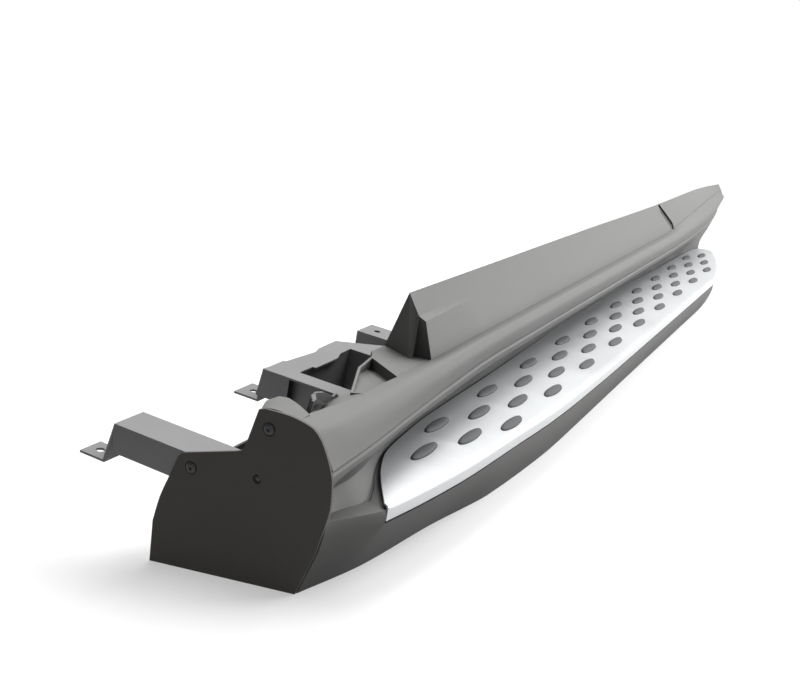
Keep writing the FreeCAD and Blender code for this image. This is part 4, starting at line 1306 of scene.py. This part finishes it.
@dataclass
class Steelwork:
    """The folded rail and the brackets that bolt to the car.

    Attributes:
        edge_radius: Radius of the sheared edges, metres.
        sheet_thickness: Thickness of the brackets' sheet, millimetres.
        deck: Level of the rail's deck.
        jack_ends: Where the wide bracket begins and ends along the board.
        jack_corner: Its inboard corner, towards the car.
        window_x: Ends of its window along the board.
        window_u: Sides of the window.
        collar_depth: Depth of the collar round the window, below the deck.
    """

    edge_radius: float = 0.0006
    sheet_thickness: float = 2.5
    deck: float = DECK
    jack_ends: Pair = (249.0, 453.0)
    jack_corner: float = 213.0
    window_x: Pair = (274.0, 403.0)
    window_u: Pair = (108.0, 178.0)
    collar_depth: float = 58.0

    def folded(self, points: Path, x: Pair) -> Form:
        """Make a folded strip that follows a path between two places along the board."""
        return prism(points + offset(points, self.sheet_thickness)[::-1], x[0], x[1], Axis.ALONG)

    def jack_hanger(self) -> Form:
        """Make the wide bracket: cranked edge and window, deep collar, webs, riser and foot.

        Returns:
            The form of the bracket.
        """
        top = self.deck + self.sheet_thickness
        low = self.deck - 28.0
        thick = self.sheet_thickness
        x0, x1 = self.jack_ends
        corner = self.jack_corner
        plan = [
            (x0, 42.0), (x0, corner), (x0 + 45.0, corner - 4.0), (x1 - 99.0, corner - 9.5),
            (x1 - 86.0, corner - 5.5), (x1 - 39.0, corner - 4.0), (x1, corner - 56.0), (x1, 42.0),
        ]
        wx0, wx1 = self.window_x
        wu0, wu1 = self.window_u
        wu2 = wu1 + 2.5
        window = [
            (wx0, wu0), (wx1, wu0), (wx1, wu2), (wx1 - 27.0, wu1 + 2.0), (wx1 - 45.0, wu1 - 4.5),
            (wx0 + 31.0, wu1 - 4.5), (wx0 + 29.0, wu1), (wx0, wu1),
        ]
        rim = self.deck - self.collar_depth
        outside = block((wx0 - thick, wx1 + thick), (wu0 - thick, wu2 + thick), (rim, self.deck))
        inside = block((wx0, wx1), (wu0, wu2), (rim - 1.0, self.deck + 1.0))
        opening = prism(window, self.deck - 1.0, top + 1.0)
        panel = x0 + 11.0
        web = [(176.0, top), (corner - 0.4, top), (corner + 5.0, low - 4.0), (176.0, low - 4.0)]
        sole = top - 42.0
        path = [(corner - 8.0, top), (corner - 1.0, top)]
        path += [(corner + 6.0, sole), (corner + 38.0, sole)]
        solids = [
            worked([prism(plan, self.deck, top), opening], Work.CUT),
            worked([outside, inside], Work.CUT), prism(web, x0, x0 + thick, Axis.ALONG),
            block((x0, panel + thick), (176.0, 176.0 + thick), (low - 4.0, self.deck)),
            block((panel, panel + thick), (97.0, 176.0 + thick), (self.deck - 40.0, self.deck)),
            block((x1 - thick, x1), (96.5, corner - 57.0), (low, self.deck)),
            self.folded(path, (x0 + 5.0, x0 + 44.0)),
        ]
        hole = prism(oval((x0 + 24.5, 236.0), (4.5, 4.5)), top - 60.0, top - 30.0)
        return worked([worked(solids, Work.JOIN), hole], Work.CUT)

    def build(self) -> None:
        """Make the rail, the brackets and their bolts."""
        rail = edged(form_of("support_rail"), "folded_rail", self.edge_radius)
        seat(rail, RAIL_PAINT, "support_rail")
        for place in ("near", "jack", "third", "fourth", "far"):
            node = place + "_bracket"
            shape = self.jack_hanger() if place == "jack" else form_of(node)
            seat(edged(shape, place + "_hanger", self.edge_radius), BRACKET_PAINT, node)
        for node, name, finish in (
            ("bracket_bolts", "hanger_bolts", ZINC), ("bracket_washers", "hanger_washers", ZINC),
            ("bracket_nuts", "hanger_nuts", ZINC), ("body_screws", "foot_screws", SCREW_BLACK),
            ("deck_clip_nuts", "clip_nuts", ZINC),
        ):
            take_over(node, name, finish)


@dataclass
class Studio:
    """Floor, lights, world and camera.

    Attributes:
        eye: Camera place, metres.
        pitch: Degrees that the camera looks down.
        yaw: Degrees that the view turns from +X towards +Y.
        lens: Focal length, millimetres.
        sensor: Width of the sensor, millimetres.
        floor_radius: Radius of the floor, metres.
        floor_fade: Where the floor starts and ends fading into the white world, metres.
        floor_squeeze: How much sooner it fades across the board than along it.
        floor_bounce: Share of light that the floor gives back to the board.
        floor_tint: Share of light that the floor gives to the camera.
        floor_glow: Light of its own that the floor shows the camera.
        ambient: Level of the world's own light.
        boxes: Soft boxes: name, place, point that each faces, width and height, all in
            metres, and power in watts.
    """

    eye: Triple = (-1.7738, -0.5432, 0.4400)
    pitch: float = 13.55
    yaw: float = 26.0
    lens: float = 47.25
    sensor: float = 36.0
    floor_radius: float = 16.0
    floor_fade: Pair = (1.1, 2.4)
    floor_squeeze: float = 1.9
    floor_bounce: float = 0.16
    floor_tint: float = 0.56
    floor_glow: float = 0.42
    ambient: float = 0.13
    boxes: tuple[tuple[str, Triple, Triple, Pair, float], ...] = (
        ("key_box", (1.1, -1.6, 2.7), (0.1, -0.05, 0.1), (3.0, 1.3), 112.0),
        ("top_box", (0.3, 0.7, 2.9), (-0.1, 0.0, 0.1), (3.0, 1.4), 100.0),
        ("low_box", (1.6, -2.4, 0.5), (0.0, -0.1, 0.05), (2.0, 0.5), 76.0),
        ("near_box", (-3.2, -0.6, 1.0), (-0.9, 0.0, 0.1), (1.2, 0.8), 7.0),
    )

    def placed(self, data: bpy.types.ID, place: Triple, ahead: Vector) -> Piece:
        """Hang a camera or lamp.

        Args:
            data: The camera or the lamp.
            place: Where it hangs, metres.
            ahead: Direction that it faces.

        Returns:
            The object in the scene.
        """
        obj = bpy.data.objects.new(data.name, data)
        obj.location = Vector(place)
        obj.rotation_euler = ahead.to_track_quat("-Z", "Y").to_euler()
        bpy.context.scene.collection.objects.link(obj)
        return obj

    def camera(self) -> None:
        """Place the camera at the photograph's viewing angle."""
        data = bpy.data.cameras.new("studio_camera")
        data.lens = self.lens
        data.sensor_width = self.sensor
        data.sensor_fit = "HORIZONTAL"
        data.clip_end = 60.0
        pitch = math.radians(self.pitch)
        yaw = math.radians(self.yaw)
        level = math.cos(pitch)
        ahead = Vector((level * math.cos(yaw), level * math.sin(yaw), -math.sin(pitch)))
        bpy.context.scene.camera = self.placed(data, self.eye, ahead)

    def lamps(self) -> None:
        """Hang the soft boxes."""
        for name, place, aim, size, power in self.boxes:
            data = bpy.data.lights.new(name, "AREA")
            data.shape = "RECTANGLE"
            data.size, data.size_y = size
            data.energy = power
            self.placed(data, place, Vector(aim) - Vector(place))

    def direct_view(self, wiring: Wiring) -> Socket:
        """Tell rays that show the backdrop from rays that light the board.

        Args:
            wiring: Node tree of the floor or the world.

        Returns:
            A socket that is 1 for camera rays and for clear reflections of them.
        """
        path = wiring.add("LightPath").outputs
        mirror = wiring.combine("MAXIMUM", path["Is Glossy Ray"], path["Is Transmission Ray"])
        first = wiring.combine("LESS_THAN", path["Diffuse Depth"], 0.5)
        clear = wiring.combine("MULTIPLY", mirror, first)
        return wiring.combine("MAXIMUM", path["Is Camera Ray"], clear)

    def floor(self) -> None:
        """Lay a pale round floor that fades out into the white world."""
        shape = bmesh.new()
        bmesh.ops.create_circle(shape, cap_ends=True, segments=96, radius=self.floor_radius)
        mesh = bpy.data.meshes.new("studio_floor")
        shape.to_mesh(mesh)
        shape.free()
        obj = bpy.data.objects.new("studio_floor", mesh)
        obj.location.z = -0.0002
        bpy.context.scene.collection.objects.link(obj)
        material = bpy.data.materials.new("studio_paper")
        material.use_nodes = True
        nodes = material.node_tree.nodes
        nodes.remove(nodes["Principled BSDF"])
        wiring = Wiring(material.node_tree)
        seen = self.direct_view(wiring)
        tint = wiring.spread(seen, (self.floor_bounce, self.floor_tint))
        paper = wiring.add("BsdfDiffuse", {"Color": tint})
        strength = wiring.combine("MULTIPLY", seen, self.floor_glow)
        glow = wiring.add("Emission", {"Strength": strength})
        lit = wiring.add("AddShader", {0: paper.outputs["BSDF"], 1: glow.outputs["Emission"]})
        place = wiring.add("TexCoord").outputs["Object"]
        squeeze = wiring.add("Mapping", {"Vector": place, "Scale": (1.0, self.floor_squeeze, 1.0)})
        reach = wiring.add("VectorMath", {0: squeeze.outputs["Vector"]}, operation="LENGTH")
        fade = wiring.spread(
            reach.outputs["Value"], (0.0, 1.0), self.floor_fade, interpolation_type="SMOOTHSTEP",
        )
        clear = wiring.add("BsdfTransparent").outputs["BSDF"]
        mix = wiring.add("MixShader", {"Fac": fade, 1: lit.outputs["Shader"], 2: clear})
        wiring.fill(nodes["Material Output"], {"Surface": mix.outputs["Shader"]})
        obj.data.materials.append(material)

    def world(self) -> None:
        """Light the scene softly, darker from behind the camera, before a white backdrop."""
        world = bpy.data.worlds.new("studio_world")
        bpy.context.scene.world = world
        world.use_nodes = True
        wiring = Wiring(world.node_tree)
        place = wiring.add("TexCoord").outputs["Generated"]
        along = wiring.add("SeparateXYZ", {"Vector": place}).outputs["X"]
        side = wiring.spread(along, (0.25, 1.0), (-0.45, 0.25))
        level = wiring.spread(self.direct_view(wiring), (self.ambient, 1.0))
        shaded = wiring.combine("MULTIPLY", level, side)
        camera_ray = wiring.add("LightPath").outputs["Is Camera Ray"]
        strength = wiring.combine("MAXIMUM", shaded, camera_ray)
        background = world.node_tree.nodes["Background"]
        wiring.fill(background, {"Color": (1.0, 1.0, 1.0, 1.0), "Strength": strength})

    def build(self) -> None:
        """Set up the whole studio."""
        bpy.context.scene.view_settings.view_transform = "Standard"
        self.camera()
        self.floor()
        self.world()
        self.lamps()


def main() -> None:
    """Build every sub-assembly in order and report each piece."""
    logging.basicConfig(level=logging.INFO, format="%(message)s")
    for assembly in (Studio(), MouldedBody(), EndCaps(), Tread(), Steelwork()):
        assembly.build()


if __name__ == "__main__":
    main()
